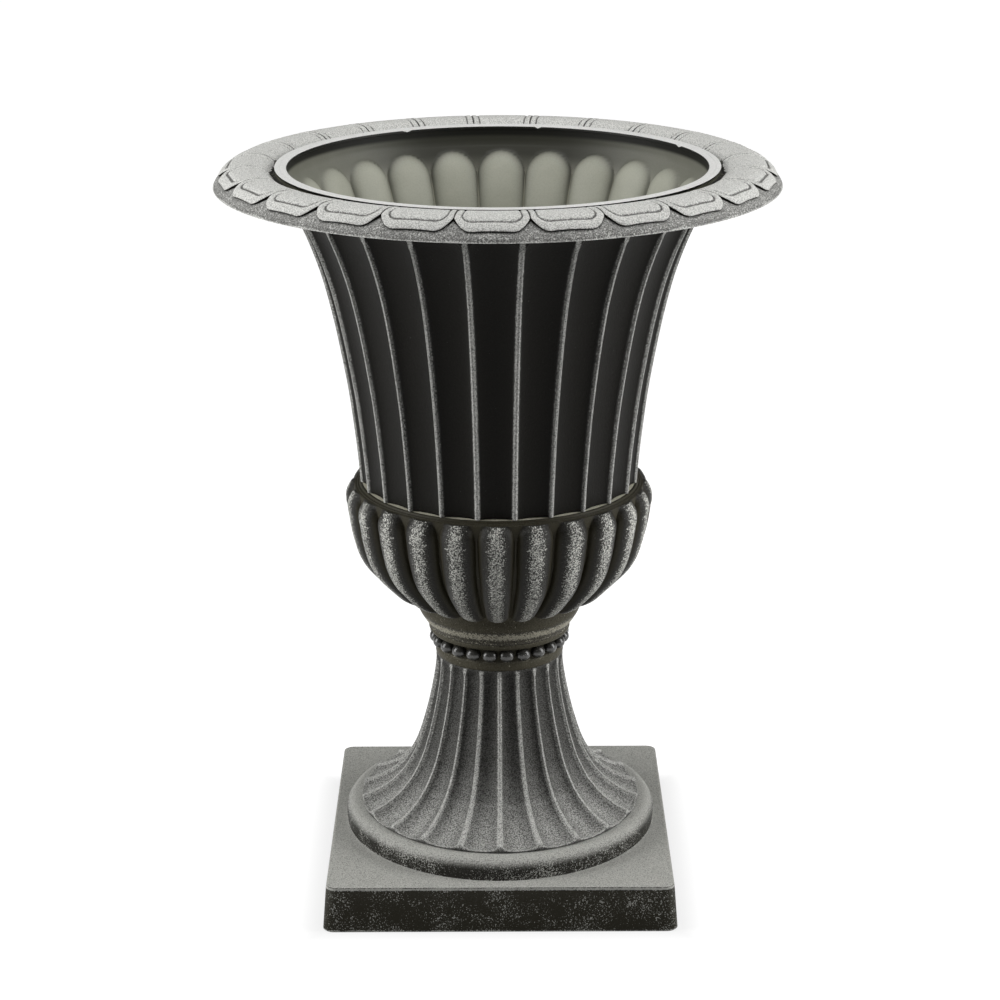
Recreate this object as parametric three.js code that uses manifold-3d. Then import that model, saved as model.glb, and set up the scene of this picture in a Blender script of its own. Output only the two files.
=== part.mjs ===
// A garden urn planter: fluted bowl with a petal rim, gadrooned cup, beaded collar,
// trumpet pedestal and square plinth, clamped together by one tie bolt.
// Millimetres, +Z up, origin under the middle of the plinth, the front faces -Y.
import * as THREE from 'three';
import { mergeVertices } from 'three/addons/utils/BufferGeometryUtils.js';
import Module from 'manifold-3d';

const wasm = await Module();
wasm.setup();

// ---------------------------------------------------------------- sizes

const FIT = 0.3;                      // clearance between pieces that touch
const UPPER_TURN = -1.1;              // degrees that the bolted-up bowl stands off the plinth's sides
const RIBS_ROUND_BOWL = 24;           // gadroons, bowl flutes and rim petals share one count

// Plinth: a hollow square base, open below
const PLINTH_HEIGHT = 35;
const PLINTH_MARGIN = 9;              // flat top between the torus and the sides
const PLINTH_DRAFT = 2.75;            // each side leans out by this at the foot
const PLINTH_CORNER_RADIUS = 7.5;
const PLINTH_WALL = 3;
const TORUS_REACH = 12;               // round moulding, out from the pedestal's foot
const TORUS_HEIGHT = 16.5;
const DECK_LAND = 46.5;               // deck from the pedestal's foot in to the hand hole
const CORNER_RIB_THICKNESS = 2.5;
const CORNER_RIB_HEIGHT = 19;

// Pedestal: a hollow fluted trumpet
const PEDESTAL_HEIGHT = 120;
const PEDESTAL_FOOT_RADIUS = 106.5;
const PEDESTAL_FOOT_RIM = 8.5;        // width of the rim that stands on the deck
const PEDESTAL_NECK_RADIUS = 47.9;
const PEDESTAL_FLUTES = 22;
const PEDESTAL_FLUTE_DEPTH_FOOT = 4.2;
const PEDESTAL_FLUTE_DEPTH_NECK = 3;
const PEDESTAL_FLUTE_STOP = 2.2;      // plain band above the flutes
const PEDESTAL_WALL = 2.6;
const PEDESTAL_TOP_PLATE = 3.7;
const PEDESTAL_DRAIN_RADIUS = 8;
const PEDESTAL_DRAIN_OFFSET = 21;

// Collar with its ring of beads
const COLLAR_HEIGHT = 22;
const COLLAR_WALL = 6.9;              // in from the pedestal's neck
const COLLAR_BAND_LIP = 0.3;          // plain lower band, out from the pedestal's neck
const COLLAR_BAND_HEIGHT = 6.4;
const COLLAR_CAP_REACH = 5;           // moulding above the beads, out from the lower band
const COLLAR_CAP_HEIGHT = 4.6;
const BEAD_COUNT = 24;
const BEAD_RADIUS = 4.9;
const BEAD_SINK = 1.4;                // the band behind the beads lies this far in
const BEAD_PROUD = 0.6;               // a bead's centre, out from that band
const SPIGOT_HEIGHT = 5;              // rings that locate cup and pedestal in the collar
const SPIGOT_WALL = 3;

// Cup with gadroons
const CUP_HEIGHT = 114;               // from the collar to the bowl's seat
const CUP_NECK_HEIGHT = 24.5;         // plain cove below the gadroons
const CUP_COVE_REACH = 7.9;           // cove, out from the neck
const CUP_ROOT_REACH = 2.3;           // lower ends of the gadroons, out from the cove
const CUP_SHOULDER_WIDTH = 3.9;       // shoulder, out from the bowl's foot
const CUP_SHOULDER_HEIGHT = 2.3;
const CUP_SHOULDER_SLOPE = 1;         // the shoulder leans in by this
const CUP_BULGE = 7;                  // crowns of the gadroons, out from the shoulder
const CUP_GADROON_DEPTH = 8.5;
const CUP_WALL = 3;
const CUP_FLOOR = 3;
const CUP_FLOOR_DROP = 1.5;           // floor's top below the gadroons' lower ends
const CUP_SEAT_THICKNESS = 4;         // ledge that the bowl stands on
const CUP_NECK_WALL = 8;              // round the hollow under the floor, in from the cove
const CUP_HOLLOW_SHOULDER = 14.7;     // height at which that hollow starts to narrow

// Bowl
const BOWL_FLUTED_HEIGHT = 217.2;
const BOWL_NECK_HEIGHT = 18;          // plain wall and lip above the flutes
const BOWL_FOOT_RADIUS = 102.6;
const BOWL_FLUTE_TOP_RADIUS = 151.8;
const BOWL_NECK_STEP = 1.7;           // plain wall, out from the tops of the flutes
const BOWL_FLUTE_DEPTH_FOOT = 4;
const BOWL_FLUTE_DEPTH_TOP = 6;
const BOWL_WALL = 3;
const BOWL_FLOOR = 3;
const BOWL_SEAT_LEDGE = 2.3;          // cup seat inside the bottoms of the flutes
const WELL_GAP = 2.5;                 // air between the bowl's well and the cup
const WELL_ROUNDING = 2;              // where the well's floor meets its wall
const LIP_OVERHANG = 5.7;
const LIP_INSET = 3.1;
const LIP_THICKNESS = 3;
const LIP_CHAMFER = 0.8;
const SNAP_RIB = 1.8;                 // bead that traps the rim ring under the lip
const DRAIN_HOLE_RADIUS = 7;

// Rim ring of petals
const RIM_LEDGE = 2.8;                // thickness of the ledge trapped under the lip
const RIM_LIP_GAP = 2.8;              // dark gap between lip and petals
const RIM_WALL = 2.5;
const PETAL_LENGTH = 37.8;
const PETAL_STEP = 1.2;               // how far the petals stand off the skirt
const SKIRT_FLARE = 3.2;              // skirt's edge, out from the petals' ends
const SKIRT_DROP = 12.8;              // from the lip's top to the skirt's bottom edge
const SKIRT_EDGE = 2.2;

// Fasteners and drain plug
const BOLT_RADIUS = 4;
const BOLT_HEAD_REACH = 3.5;          // head, nut, seal and washer, out from the bolt's shank
const NUT_REACH = 3;
const SEAL_REACH = 10;
const WASHER_REACH = 11;
const BOLT_HEAD_HEIGHT = 5.3;
const BOLT_TAIL = 6;                  // thread that stands out below the nut
const SEAL_THICKNESS = 2;
const WASHER_THICKNESS = 1.6;
const NUT_HEIGHT = 8;
const NUT_WING_SPAN = 10;             // out from the nut's body
const NUT_WING_THICKNESS = 3;
const NUT_WING_ROOT = 1;              // wings reach this far into the nut's body
const SCREW_COUNT = 4;
const SCREW_INSET = 24.5;             // in from the pedestal's foot
const SCREW_RADIUS = 2;
const SCREW_LENGTH = 10;
const SCREW_HEAD_REACH = 2;
const SCREW_HEAD_HEIGHT = 2.6;
const BOSS_WALL = 4;
const BOSS_HEIGHT = 8.8;
const PLUG_FLANGE_REACH = 3.5;
const PLUG_FLANGE_THICKNESS = 2.5;
const PLUG_STEM_LENGTH = 8;
const PLUG_TAB_HEIGHT = 9;
const PLUG_TAB_THICKNESS = 4;
const PLUG_TAB_WIDTH = 11.4;
const PLUG_TO_WASHER = 6.5;

// Fineness of the facets
const FACETS_PER_RIB = 3;
const PLAIN_FACETS = 36;
const HARDWARE_FACETS = 16;
const SCREW_FACETS = 12;
const BEAD_FACETS = [7, 5];           // round a bead and up it
const MERGE_DISTANCE = 1e-4;

// ---------------------------------------------------------------- sizes that follow

const plinthTop = PLINTH_HEIGHT;
const deckTop = plinthTop + TORUS_HEIGHT;
const pedestalFoot = deckTop + FIT;
const pedestalTop = pedestalFoot + PEDESTAL_HEIGHT;
const collarFoot = pedestalTop + FIT;
const collarTop = collarFoot + COLLAR_HEIGHT;
const cupFoot = collarTop + FIT;
const cupSeat = cupFoot + CUP_HEIGHT;
const gadroonFoot = cupFoot + CUP_NECK_HEIGHT;
const shoulderFoot = cupSeat - CUP_SHOULDER_HEIGHT;
const cupFloorTop = gadroonFoot - CUP_FLOOR_DROP;
const bowlFoot = cupSeat + FIT;
const bowlTop = bowlFoot + BOWL_FLUTED_HEIGHT + BOWL_NECK_HEIGHT;
const bowlUnderside = cupFloorTop + FIT;
const bowlFloorTop = bowlUnderside + BOWL_FLOOR;
const lipUnderside = bowlTop - LIP_THICKNESS;
const screwHeadTop = deckTop - PLINTH_WALL - FIT;
const screwTip = screwHeadTop + SCREW_LENGTH;

const torusRadius = PEDESTAL_FOOT_RADIUS + TORUS_REACH;
const plinthTopWidth = 2 * (torusRadius + PLINTH_MARGIN);
const plinthFootWidth = plinthTopWidth + 2 * PLINTH_DRAFT;
const collarBore = PEDESTAL_NECK_RADIUS - COLLAR_WALL;
const collarBand = PEDESTAL_NECK_RADIUS + COLLAR_BAND_LIP;
const collarCap = collarBand + COLLAR_CAP_REACH;
const spigotRadius = collarBore - FIT;
const coveRadius = collarCap + CUP_COVE_REACH;
const gadroonRoot = coveRadius + CUP_ROOT_REACH;
const shoulderRadius = BOWL_FOOT_RADIUS + CUP_SHOULDER_WIDTH;
const cupCrown = shoulderRadius + CUP_BULGE;
const cupFloorRadius = coveRadius - 2 * CUP_WALL;
const seatBore = BOWL_FOOT_RADIUS - BOWL_FLUTE_DEPTH_FOOT - BOWL_SEAT_LEDGE;
const bowlNeck = BOWL_FLUTE_TOP_RADIUS + BOWL_NECK_STEP;
const boltHole = BOLT_RADIUS + 2 * FIT;
const sealRadius = BOLT_RADIUS + SEAL_REACH;
const washerRadius = BOLT_RADIUS + WASHER_REACH;
const plugFlange = DRAIN_HOLE_RADIUS + PLUG_FLANGE_REACH;
const drainOffset = washerRadius + PLUG_TO_WASHER + plugFlange;

// A flute, a gadroon and a petal face the front, so their edges lie half a rib off it
const HALF_RIB = Math.PI / RIBS_ROUND_BOWL;

// ---------------------------------------------------------------- solids

// A closed three.js geometry becomes a solid that can be joined and cut.
function solidOf(geometry) {
  geometry.deleteAttribute('normal');
  geometry.deleteAttribute('uv');
  const merged = mergeVertices(geometry, MERGE_DISTANCE);
  const index = merged.index.array;
  const corners = [];
  for (let i = 0; i < index.length; i += 3) {
    const [a, b, c] = index.slice(i, i + 3);
    if (a !== b && b !== c && c !== a) corners.push(a, b, c);
  }
  return new wasm.Manifold(new wasm.Mesh({
    numProp: 3,
    vertProperties: merged.attributes.position.array,
    triVerts: Uint32Array.from(corners),
  }));
}

// A row of a turned surface: the point on the ribs' crests and the one in the troughs.
function row(radius, height, troughRadius = radius, troughHeight = height) {
  return { crest: new THREE.Vector2(radius, height), trough: new THREE.Vector2(troughRadius, troughHeight) };
}

// Turns a closed outline of rows round Z. wave(angle) runs from 0 on a crest to 1 in a trough.
// The outline runs up the outside and down the inside. Angles count from the front, -Y, and
// the first facet starts at firstAngle.
function turned(rows, facets, wave = () => 0, firstAngle = 0) {
  const closesOnAxis = rows[0].crest.x === 0;
  const outline = closesOnAxis ? rows : [...rows, rows[0]];
  const geometry = new THREE.LatheGeometry(outline.map((r) => r.crest), facets);
  const position = geometry.attributes.position;
  for (let i = 0; i <= facets; i++) {
    const angle = firstAngle + ((i % facets) / facets) * 2 * Math.PI;
    outline.forEach((r, j) => {
      const point = r.crest.clone().lerp(r.trough, wave(angle));
      const k = i * outline.length + j;
      position.setXYZ(k, point.x * Math.sin(angle), -point.x * Math.cos(angle), point.y);
    });
  }
  return solidOf(geometry);
}

// Place within one rib: 0 and 1 at its two edges, which lie at firstAngle and every rib from there.
function placeInRib(angle, count, firstAngle) {
  const place = ((angle - firstAngle) / (2 * Math.PI)) * count;
  return Math.max(0, place - Math.floor(place + 1e-6));
}

// Hollow flutes between narrow ridges
function fluteWave(count, firstAngle) {
  return (angle) => Math.sqrt(Math.max(0, 1 - (2 * placeInRib(angle, count, firstAngle) - 1) ** 2));
}

// Round ribs between sharp grooves
function gadroonWave(count, firstAngle) {
  return (angle) => 1 - fluteWave(count, firstAngle)(angle);
}

function cylinder(radius, height, foot, x = 0, y = 0, facets = HARDWARE_FACETS) {
  const geometry = new THREE.CylinderGeometry(radius, radius, height, facets);
  geometry.rotateX(Math.PI / 2);
  geometry.translate(x, y, foot + height / 2);
  return solidOf(geometry);
}

function block(width, depth, height, x, y, foot) {
  const geometry = new THREE.BoxGeometry(width, depth, height);
  geometry.translate(x, y, foot + height / 2);
  return solidOf(geometry);
}

function ringPlate(outer, inner, thickness, foot) {
  const top = foot + thickness;
  return turned([row(inner, foot), row(outer, foot), row(outer, top), row(inner, top)], HARDWARE_FACETS);
}

function meshOf(name, solid, finish) {
  const data = solid.getMesh();
  const geometry = new THREE.BufferGeometry();
  geometry.setAttribute('position', new THREE.BufferAttribute(data.vertProperties, 3));
  geometry.setIndex(new THREE.BufferAttribute(data.triVerts, 1));
  geometry.computeVertexNormals();
  const mesh = new THREE.Mesh(geometry, new THREE.MeshStandardMaterial(finish));
  mesh.name = name;
  return mesh;
}

// ---------------------------------------------------------------- finishes

const PEWTER = { color: 0x6f6d64, roughness: 0.62, metalness: 0.35 };
const DARK_PEWTER = { color: 0x3f3c35, roughness: 0.6, metalness: 0.35 };
const RAW_PLASTIC = { color: 0x9fa193, roughness: 0.5, metalness: 0 };
const ZINC = { color: 0xb8bcc0, roughness: 0.35, metalness: 0.9 };
const RUBBER = { color: 0x1c1c1c, roughness: 0.8, metalness: 0 };

// ---------------------------------------------------------------- curved walls

// Points of a wall: each entry is [share of the height, share of the swell].
const TRUMPET = [[0.043, 1], [0.073, 0.82], [0.135, 0.616], [0.235, 0.422], [0.36, 0.282], [0.56, 0.15],
  [0.8, 0.042], [0.982, 0]];
const BELL = [[0, 0], [0.25, 0.105], [0.5, 0.265], [0.72, 0.515], [0.88, 0.775], [0.965, 0.935], [1, 1]];
const GOBLET = [[0, 0], [0.038, 0.236], [0.188, 0.548], [0.36, 0.8], [0.6, 0.945], [0.82, 1], [0.94, 0.95]];

// Stations along a wall, with its outward normal, from a list of shares.
function stations(shares, foot, height, innerRadius, outerRadius) {
  const curve = new THREE.SplineCurve(shares.map(([up, out]) =>
    new THREE.Vector2(innerRadius + out * (outerRadius - innerRadius), foot + up * height)));
  return shares.map((_, i) => {
    const share = i / (shares.length - 1);
    const tangent = curve.getTangent(share);
    return { share, point: curve.getPoint(share), normal: new THREE.Vector2(tangent.y, -tangent.x) };
  });
}

// The point at a depth under a station
function under(station, depth) {
  return station.point.clone().addScaledVector(station.normal, -depth);
}

function ribbedRow(station, depth, wall = 0) {
  const crest = under(station, wall);
  const trough = under(station, wall + depth);
  return row(crest.x, crest.y, trough.x, trough.y);
}

// ---------------------------------------------------------------- plinth

function roundedSquare(width, radius) {
  const half = width / 2;
  const inner = half - radius;
  const shape = new THREE.Shape();
  shape.moveTo(-inner, -half);
  shape.lineTo(inner, -half);
  shape.absarc(inner, -inner, radius, -Math.PI / 2, 0, false);
  shape.lineTo(half, inner);
  shape.absarc(inner, inner, radius, 0, Math.PI / 2, false);
  shape.lineTo(-inner, half);
  shape.absarc(-inner, inner, radius, Math.PI / 2, Math.PI, false);
  shape.lineTo(-half, -inner);
  shape.absarc(-inner, -inner, radius, Math.PI, 1.5 * Math.PI, false);
  return shape;
}

// A square block that narrows from its foot to its top
function taperedSquare(footWidth, topWidth, radius, height) {
  const geometry = new THREE.ExtrudeGeometry(roundedSquare(footWidth, radius),
    { depth: height, bevelEnabled: false, curveSegments: 4 });
  const position = geometry.attributes.position;
  for (let i = 0; i < position.count; i++) {
    const scale = 1 + (topWidth / footWidth - 1) * (position.getZ(i) / height);
    position.setXY(i, position.getX(i) * scale, position.getY(i) * scale);
  }
  return solidOf(geometry);
}

// The torus moulding with the deck inside it, grown by skin: 0 outside, minus the wall inside
function torusAndDeck(skin, foot) {
  const round = TORUS_HEIGHT / 2;
  const centre = torusRadius - round;
  const arc = [-35, 0, 30, 60, 90].map((degrees) => {
    const angle = THREE.MathUtils.degToRad(degrees);
    const reach = round + skin;
    return row(centre + reach * Math.cos(angle), plinthTop + round + reach * Math.sin(angle));
  });
  return turned([row(0, foot), row(arc[0].crest.x, foot), ...arc, row(0, deckTop + skin)], PLAIN_FACETS);
}

function screwPlaces() {
  const reach = PEDESTAL_FOOT_RADIUS - SCREW_INSET;
  return Array.from({ length: SCREW_COUNT }, (_, i) => {
    const angle = ((i + 0.5) / SCREW_COUNT) * 2 * Math.PI;
    return [reach * Math.cos(angle), reach * Math.sin(angle)];
  });
}

// Ribs under the plinth's top, from the torus towards the four corners
function cornerRibs() {
  const start = torusRadius - PLINTH_WALL - 1;
  const end = (plinthTopWidth / 2 - PLINTH_WALL) * Math.SQRT2 - PLINTH_CORNER_RADIUS;
  return [45, 135, 225, 315].map((degrees) => {
    const geometry = new THREE.BoxGeometry(end - start, CORNER_RIB_THICKNESS, CORNER_RIB_HEIGHT);
    geometry.translate((start + end) / 2, 0, plinthTop - PLINTH_WALL / 2 - CORNER_RIB_HEIGHT / 2);
    geometry.rotateZ(THREE.MathUtils.degToRad(degrees));
    return solidOf(geometry);
  });
}

function plinthSolid() {
  const walls = 2 * PLINTH_WALL;
  const hollow = taperedSquare(plinthFootWidth - walls, plinthTopWidth - walls,
    PLINTH_CORNER_RADIUS - PLINTH_WALL, plinthTop - PLINTH_WALL);
  const handHoleRadius = PEDESTAL_FOOT_RADIUS - DECK_LAND;
  let solid = taperedSquare(plinthFootWidth, plinthTopWidth, PLINTH_CORNER_RADIUS, plinthTop)
    .add(torusAndDeck(0, plinthTop - PLINTH_WALL))
    .subtract(hollow)
    .subtract(torusAndDeck(-PLINTH_WALL, plinthTop - walls))
    .subtract(cylinder(handHoleRadius, TORUS_HEIGHT + walls, plinthTop, 0, 0, PLAIN_FACETS));
  for (const rib of cornerRibs()) solid = solid.add(rib);
  for (const [x, y] of screwPlaces()) {
    const hole = cylinder(SCREW_RADIUS + 2 * FIT, 3 * PLINTH_WALL, deckTop - walls, x, y, SCREW_FACETS);
    solid = solid.subtract(hole);
  }
  return solid;
}

// ---------------------------------------------------------------- pedestal

function pedestalSolid() {
  const { lerp } = THREE.MathUtils;
  const wall = stations(TRUMPET, pedestalFoot, PEDESTAL_HEIGHT, PEDESTAL_NECK_RADIUS, PEDESTAL_FOOT_RADIUS);
  const depthAt = (share) => lerp(PEDESTAL_FLUTE_DEPTH_FOOT, PEDESTAL_FLUTE_DEPTH_NECK, share);
  const outside = wall.slice(1, -1).map((s) => ribbedRow(s, depthAt(s.share)));
  const inside = wall.slice(1, -1).map((s) => {
    const point = under(s, depthAt(s.share) + PEDESTAL_WALL);
    return row(point.x, point.y);
  });
  const ridgeEnd = wall[0].point;
  const fluteEnd = Math.max(pedestalFoot + FIT, ridgeEnd.y - PEDESTAL_FLUTE_DEPTH_FOOT);
  const plateUnderside = pedestalTop - PEDESTAL_TOP_PLATE;
  const rows = [
    row(PEDESTAL_FOOT_RADIUS - PEDESTAL_FOOT_RIM, pedestalFoot),
    row(PEDESTAL_FOOT_RADIUS, pedestalFoot),
    row(ridgeEnd.x, ridgeEnd.y, ridgeEnd.x, fluteEnd),
    ...outside,
    row(PEDESTAL_NECK_RADIUS, pedestalTop - PEDESTAL_FLUTE_STOP),
    row(PEDESTAL_NECK_RADIUS, pedestalTop),
    row(spigotRadius, pedestalTop),
    row(spigotRadius, pedestalTop + SPIGOT_HEIGHT),
    row(spigotRadius - SPIGOT_WALL, pedestalTop + SPIGOT_HEIGHT),
    row(spigotRadius - SPIGOT_WALL, pedestalTop),
    row(boltHole, pedestalTop),
    row(boltHole, plateUnderside),
    row(inside.at(-1).crest.x, plateUnderside),
    ...inside.reverse(),
  ];
  let solid = turned(rows, PEDESTAL_FLUTES * FACETS_PER_RIB, fluteWave(PEDESTAL_FLUTES, 0));
  for (const [x, y] of screwPlaces()) {
    const pilotHole = cylinder(SCREW_RADIUS + FIT, screwTip + FIT - deckTop, deckTop, x, y, SCREW_FACETS);
    solid = solid.add(cylinder(SCREW_RADIUS + BOSS_WALL, BOSS_HEIGHT, pedestalFoot, x, y)).subtract(pilotHole);
  }
  for (const x of [-PEDESTAL_DRAIN_OFFSET, PEDESTAL_DRAIN_OFFSET]) {
    solid = solid.subtract(cylinder(PEDESTAL_DRAIN_RADIUS, 3 * PEDESTAL_TOP_PLATE,
      pedestalTop - 2 * PEDESTAL_TOP_PLATE, x, 0));
  }
  return solid;
}

// ---------------------------------------------------------------- collar

function collarSolid() {
  const beadBand = collarBand - BEAD_SINK;
  const bandTop = collarFoot + COLLAR_BAND_HEIGHT;
  const capFoot = collarTop - COLLAR_CAP_HEIGHT;
  let solid = turned([
    row(collarBore, collarFoot),
    row(collarBand, collarFoot),
    row(collarBand - BEAD_SINK / 3, bandTop),
    row(beadBand, bandTop + BEAD_SINK / 3),
    row(beadBand, capFoot),
    row(THREE.MathUtils.lerp(beadBand, collarCap, 0.75), capFoot + 0.2 * COLLAR_CAP_HEIGHT),
    row(collarCap, capFoot + 0.65 * COLLAR_CAP_HEIGHT),
    row(collarCap, collarTop),
    row(collarBore, collarTop),
  ], PLAIN_FACETS);
  const beadHeight = (bandTop + capFoot) / 2;
  for (let i = 0; i < BEAD_COUNT; i++) {
    const bead = new THREE.SphereGeometry(BEAD_RADIUS, ...BEAD_FACETS);
    bead.translate(beadBand + BEAD_PROUD, 0, 0);
    bead.rotateZ(((i + 0.5) / BEAD_COUNT) * 2 * Math.PI);
    bead.translate(0, 0, beadHeight);
    solid = solid.add(solidOf(bead));
  }
  return solid;
}

// ---------------------------------------------------------------- cup

function cupWall() {
  const shares = [...GOBLET, [1, (shoulderRadius - gadroonRoot) / (cupCrown - gadroonRoot)]];
  return stations(shares, gadroonFoot, shoulderFoot - gadroonFoot, gadroonRoot, cupCrown);
}

// Gadroons start shallow at their foot, deepen as they rise, and fade out at the shoulder
const GADROON_FOOT_SHARE = 0.25;
const GADROON_RISE = 2.4;
const GADROON_FALL = 7;

function gadroonDepth(share) {
  const risen = GADROON_FOOT_SHARE + GADROON_RISE * share;
  return CUP_GADROON_DEPTH * Math.min(1, risen, GADROON_FALL * (1 - share));
}

function cupInside(station) {
  const point = under(station, gadroonDepth(station.share) + CUP_WALL);
  return row(point.x, point.y);
}

function cupSolid() {
  const wall = cupWall();
  const spigotBore = spigotRadius - SPIGOT_WALL;
  const neckAt = (up, out) =>
    row(THREE.MathUtils.lerp(collarCap, coveRadius, out), cupFoot + up * CUP_NECK_HEIGHT);
  const floorUnderside = cupFloorTop - CUP_FLOOR;
  const neckHollow = coveRadius - CUP_NECK_WALL;
  const rows = [
    row(spigotBore, cupFoot - SPIGOT_HEIGHT),
    row(spigotRadius, cupFoot - SPIGOT_HEIGHT),
    row(spigotRadius, cupFoot),
    neckAt(0, 0),
    neckAt(0.36, 0.65),
    neckAt(0.66, 1),
    neckAt(0.94, 1),
    ...wall.slice(0, -1).map((s) => ribbedRow(s, gadroonDepth(s.share))),
    row(shoulderRadius, shoulderFoot),
    row(shoulderRadius - CUP_SHOULDER_SLOPE, cupSeat),
    row(seatBore, cupSeat),
    row(seatBore, cupSeat - CUP_SEAT_THICKNESS),
    ...wall.slice(1, -2).map(cupInside).reverse(),
    row(cupFloorRadius, cupFloorTop),
    row(boltHole, cupFloorTop),
    row(boltHole, floorUnderside),
    row(neckHollow, floorUnderside),
    row(neckHollow, cupFoot + CUP_HOLLOW_SHOULDER),
    row(spigotBore, cupFoot + CUP_WALL),
  ];
  return turned(rows, RIBS_ROUND_BOWL * FACETS_PER_RIB, gadroonWave(RIBS_ROUND_BOWL, HALF_RIB), HALF_RIB)
    .subtract(cylinder(DRAIN_HOLE_RADIUS + 1, 3 * CUP_FLOOR, cupFloorTop - 2 * CUP_FLOOR, drainOffset, 0));
}

// ---------------------------------------------------------------- bowl

const FLUTE_FALL = 9;                 // the flutes run out quickly under the bowl's plain neck

// The plain well that hangs inside the cup: it clears the cup's inside all the way down.
function wellRows(skin) {
  const limit = seatBore - FIT - skin;
  return cupWall().slice(1, -3).map((station) => {
    const point = under(station, gadroonDepth(station.share) + CUP_WALL + WELL_GAP + skin);
    return row(Math.min(point.x, limit), point.y);
  });
}

function bowlSolid() {
  const wall = stations(BELL, bowlFoot, BOWL_FLUTED_HEIGHT, BOWL_FOOT_RADIUS, BOWL_FLUTE_TOP_RADIUS);
  const depthAt = (share) => Math.min(1, FLUTE_FALL * (1 - share))
    * THREE.MathUtils.lerp(BOWL_FLUTE_DEPTH_FOOT, BOWL_FLUTE_DEPTH_TOP, share);
  const wellRadius = seatBore - FIT;
  const wellFloor = cupFloorRadius - WELL_GAP;
  const snapTop = lipUnderside - FIT - RIM_LEDGE - FIT;
  const lipInner = bowlNeck - LIP_INSET;
  const lipOuter = bowlNeck + LIP_OVERHANG;
  const rows = [
    row(0, bowlUnderside),
    row(wellFloor, bowlUnderside),
    ...wellRows(0),
    row(wellRadius, bowlFoot),
    row(BOWL_FOOT_RADIUS, bowlFoot, BOWL_FOOT_RADIUS - BOWL_FLUTE_DEPTH_FOOT, bowlFoot),
    ...wall.slice(1).map((s) => ribbedRow(s, depthAt(s.share))),
    row(bowlNeck, snapTop - 1.5 * SNAP_RIB),
    row(bowlNeck + SNAP_RIB, snapTop - 0.5 * SNAP_RIB),
    row(bowlNeck + SNAP_RIB, snapTop),
    row(bowlNeck, snapTop),
    row(bowlNeck, lipUnderside),
    row(lipOuter, lipUnderside),
    row(lipOuter, bowlTop - LIP_CHAMFER),
    row(lipOuter - LIP_CHAMFER, bowlTop),
    row(lipInner, bowlTop),
    row(lipInner - LIP_CHAMFER, bowlTop - LIP_THICKNESS),
    ...wall.slice(1).map((s) => ribbedRow(s, depthAt(s.share), BOWL_WALL)).reverse(),
    row(wellRadius - BOWL_WALL, bowlFoot - 1),
    ...wellRows(BOWL_WALL).reverse(),
    row(wellFloor - WELL_ROUNDING, bowlFloorTop),
    row(0, bowlFloorTop),
  ];
  return turned(rows, RIBS_ROUND_BOWL * FACETS_PER_RIB, fluteWave(RIBS_ROUND_BOWL, HALF_RIB), HALF_RIB)
    .subtract(cylinder(boltHole, 3 * BOWL_FLOOR, bowlUnderside - BOWL_FLOOR))
    .subtract(cylinder(DRAIN_HOLE_RADIUS, 3 * BOWL_FLOOR, bowlUnderside - BOWL_FLOOR, drainOffset, 0));
}

// ---------------------------------------------------------------- rim ring

// Domed section of a petal: [share of its length back from its end, drop below the top of the lip]
const PETAL_SECTION = [[0, 6], [0.11, 2], [0.26, -1], [0.42, -2.3], [0.56, -2.7], [0.76, -1.9], [0.92, 1]];
const NOTCHED_ROWS = 2;               // the outer rows step down to the skirt between two petals

function rimSolid() {
  const inner = bowlNeck + FIT;
  const ledgeTop = lipUnderside - FIT;
  const ledgeFoot = ledgeTop - RIM_LEDGE;
  const petalStart = bowlNeck + LIP_OVERHANG + RIM_LIP_GAP;
  const petalEnd = petalStart + PETAL_LENGTH;
  const skirtRadius = petalEnd + SKIRT_FLARE;
  const skirtFoot = bowlTop - SKIRT_DROP;
  const skirtTop = bowlTop - PETAL_SECTION[0][1] - PETAL_STEP;
  const petals = PETAL_SECTION.map(([back, drop], i) => {
    const radius = petalEnd - back * PETAL_LENGTH;
    const notch = i < NOTCHED_ROWS ? PETAL_STEP : 0;
    return row(radius, bowlTop - drop, radius - notch / 3, bowlTop - drop - notch);
  });
  const underPetals = PETAL_SECTION.slice(1).map(([back, drop]) =>
    row(petalEnd - back * PETAL_LENGTH, bowlTop - drop - RIM_WALL - PETAL_STEP));
  const rows = [
    row(inner, ledgeFoot),
    row(petalStart + RIM_WALL / 2, ledgeFoot),
    ...underPetals.reverse(),
    row(skirtRadius - SKIRT_EDGE, skirtFoot),
    row(skirtRadius, skirtFoot),
    row(skirtRadius, skirtFoot + SKIRT_EDGE / 4),
    row(petalEnd + FIT, skirtTop, petalEnd, skirtTop - FIT),
    ...petals,
    row(petalStart, ledgeTop),
    row(inner, ledgeTop),
  ];
  const edge = (angle) => (placeInRib(angle, RIBS_ROUND_BOWL, HALF_RIB) < 1e-4 ? 1 : 0);
  return turned(rows, RIBS_ROUND_BOWL * FACETS_PER_RIB, edge, HALF_RIB);
}

// ---------------------------------------------------------------- fasteners and plug

const sealFoot = bowlFloorTop + FIT;
const headWasherFoot = sealFoot + SEAL_THICKNESS + FIT;
const boltHeadFoot = headWasherFoot + WASHER_THICKNESS + FIT;
const nutWasherFoot = pedestalTop - PEDESTAL_TOP_PLATE - FIT - WASHER_THICKNESS;
const nutFoot = nutWasherFoot - FIT - NUT_HEIGHT;
const boltEnd = nutFoot - BOLT_TAIL;

function tieBoltSolid() {
  return cylinder(BOLT_RADIUS + BOLT_HEAD_REACH, BOLT_HEAD_HEIGHT, boltHeadFoot, 0, 0, 6)
    .add(cylinder(BOLT_RADIUS, boltHeadFoot - boltEnd + 1, boltEnd));
}

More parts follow.
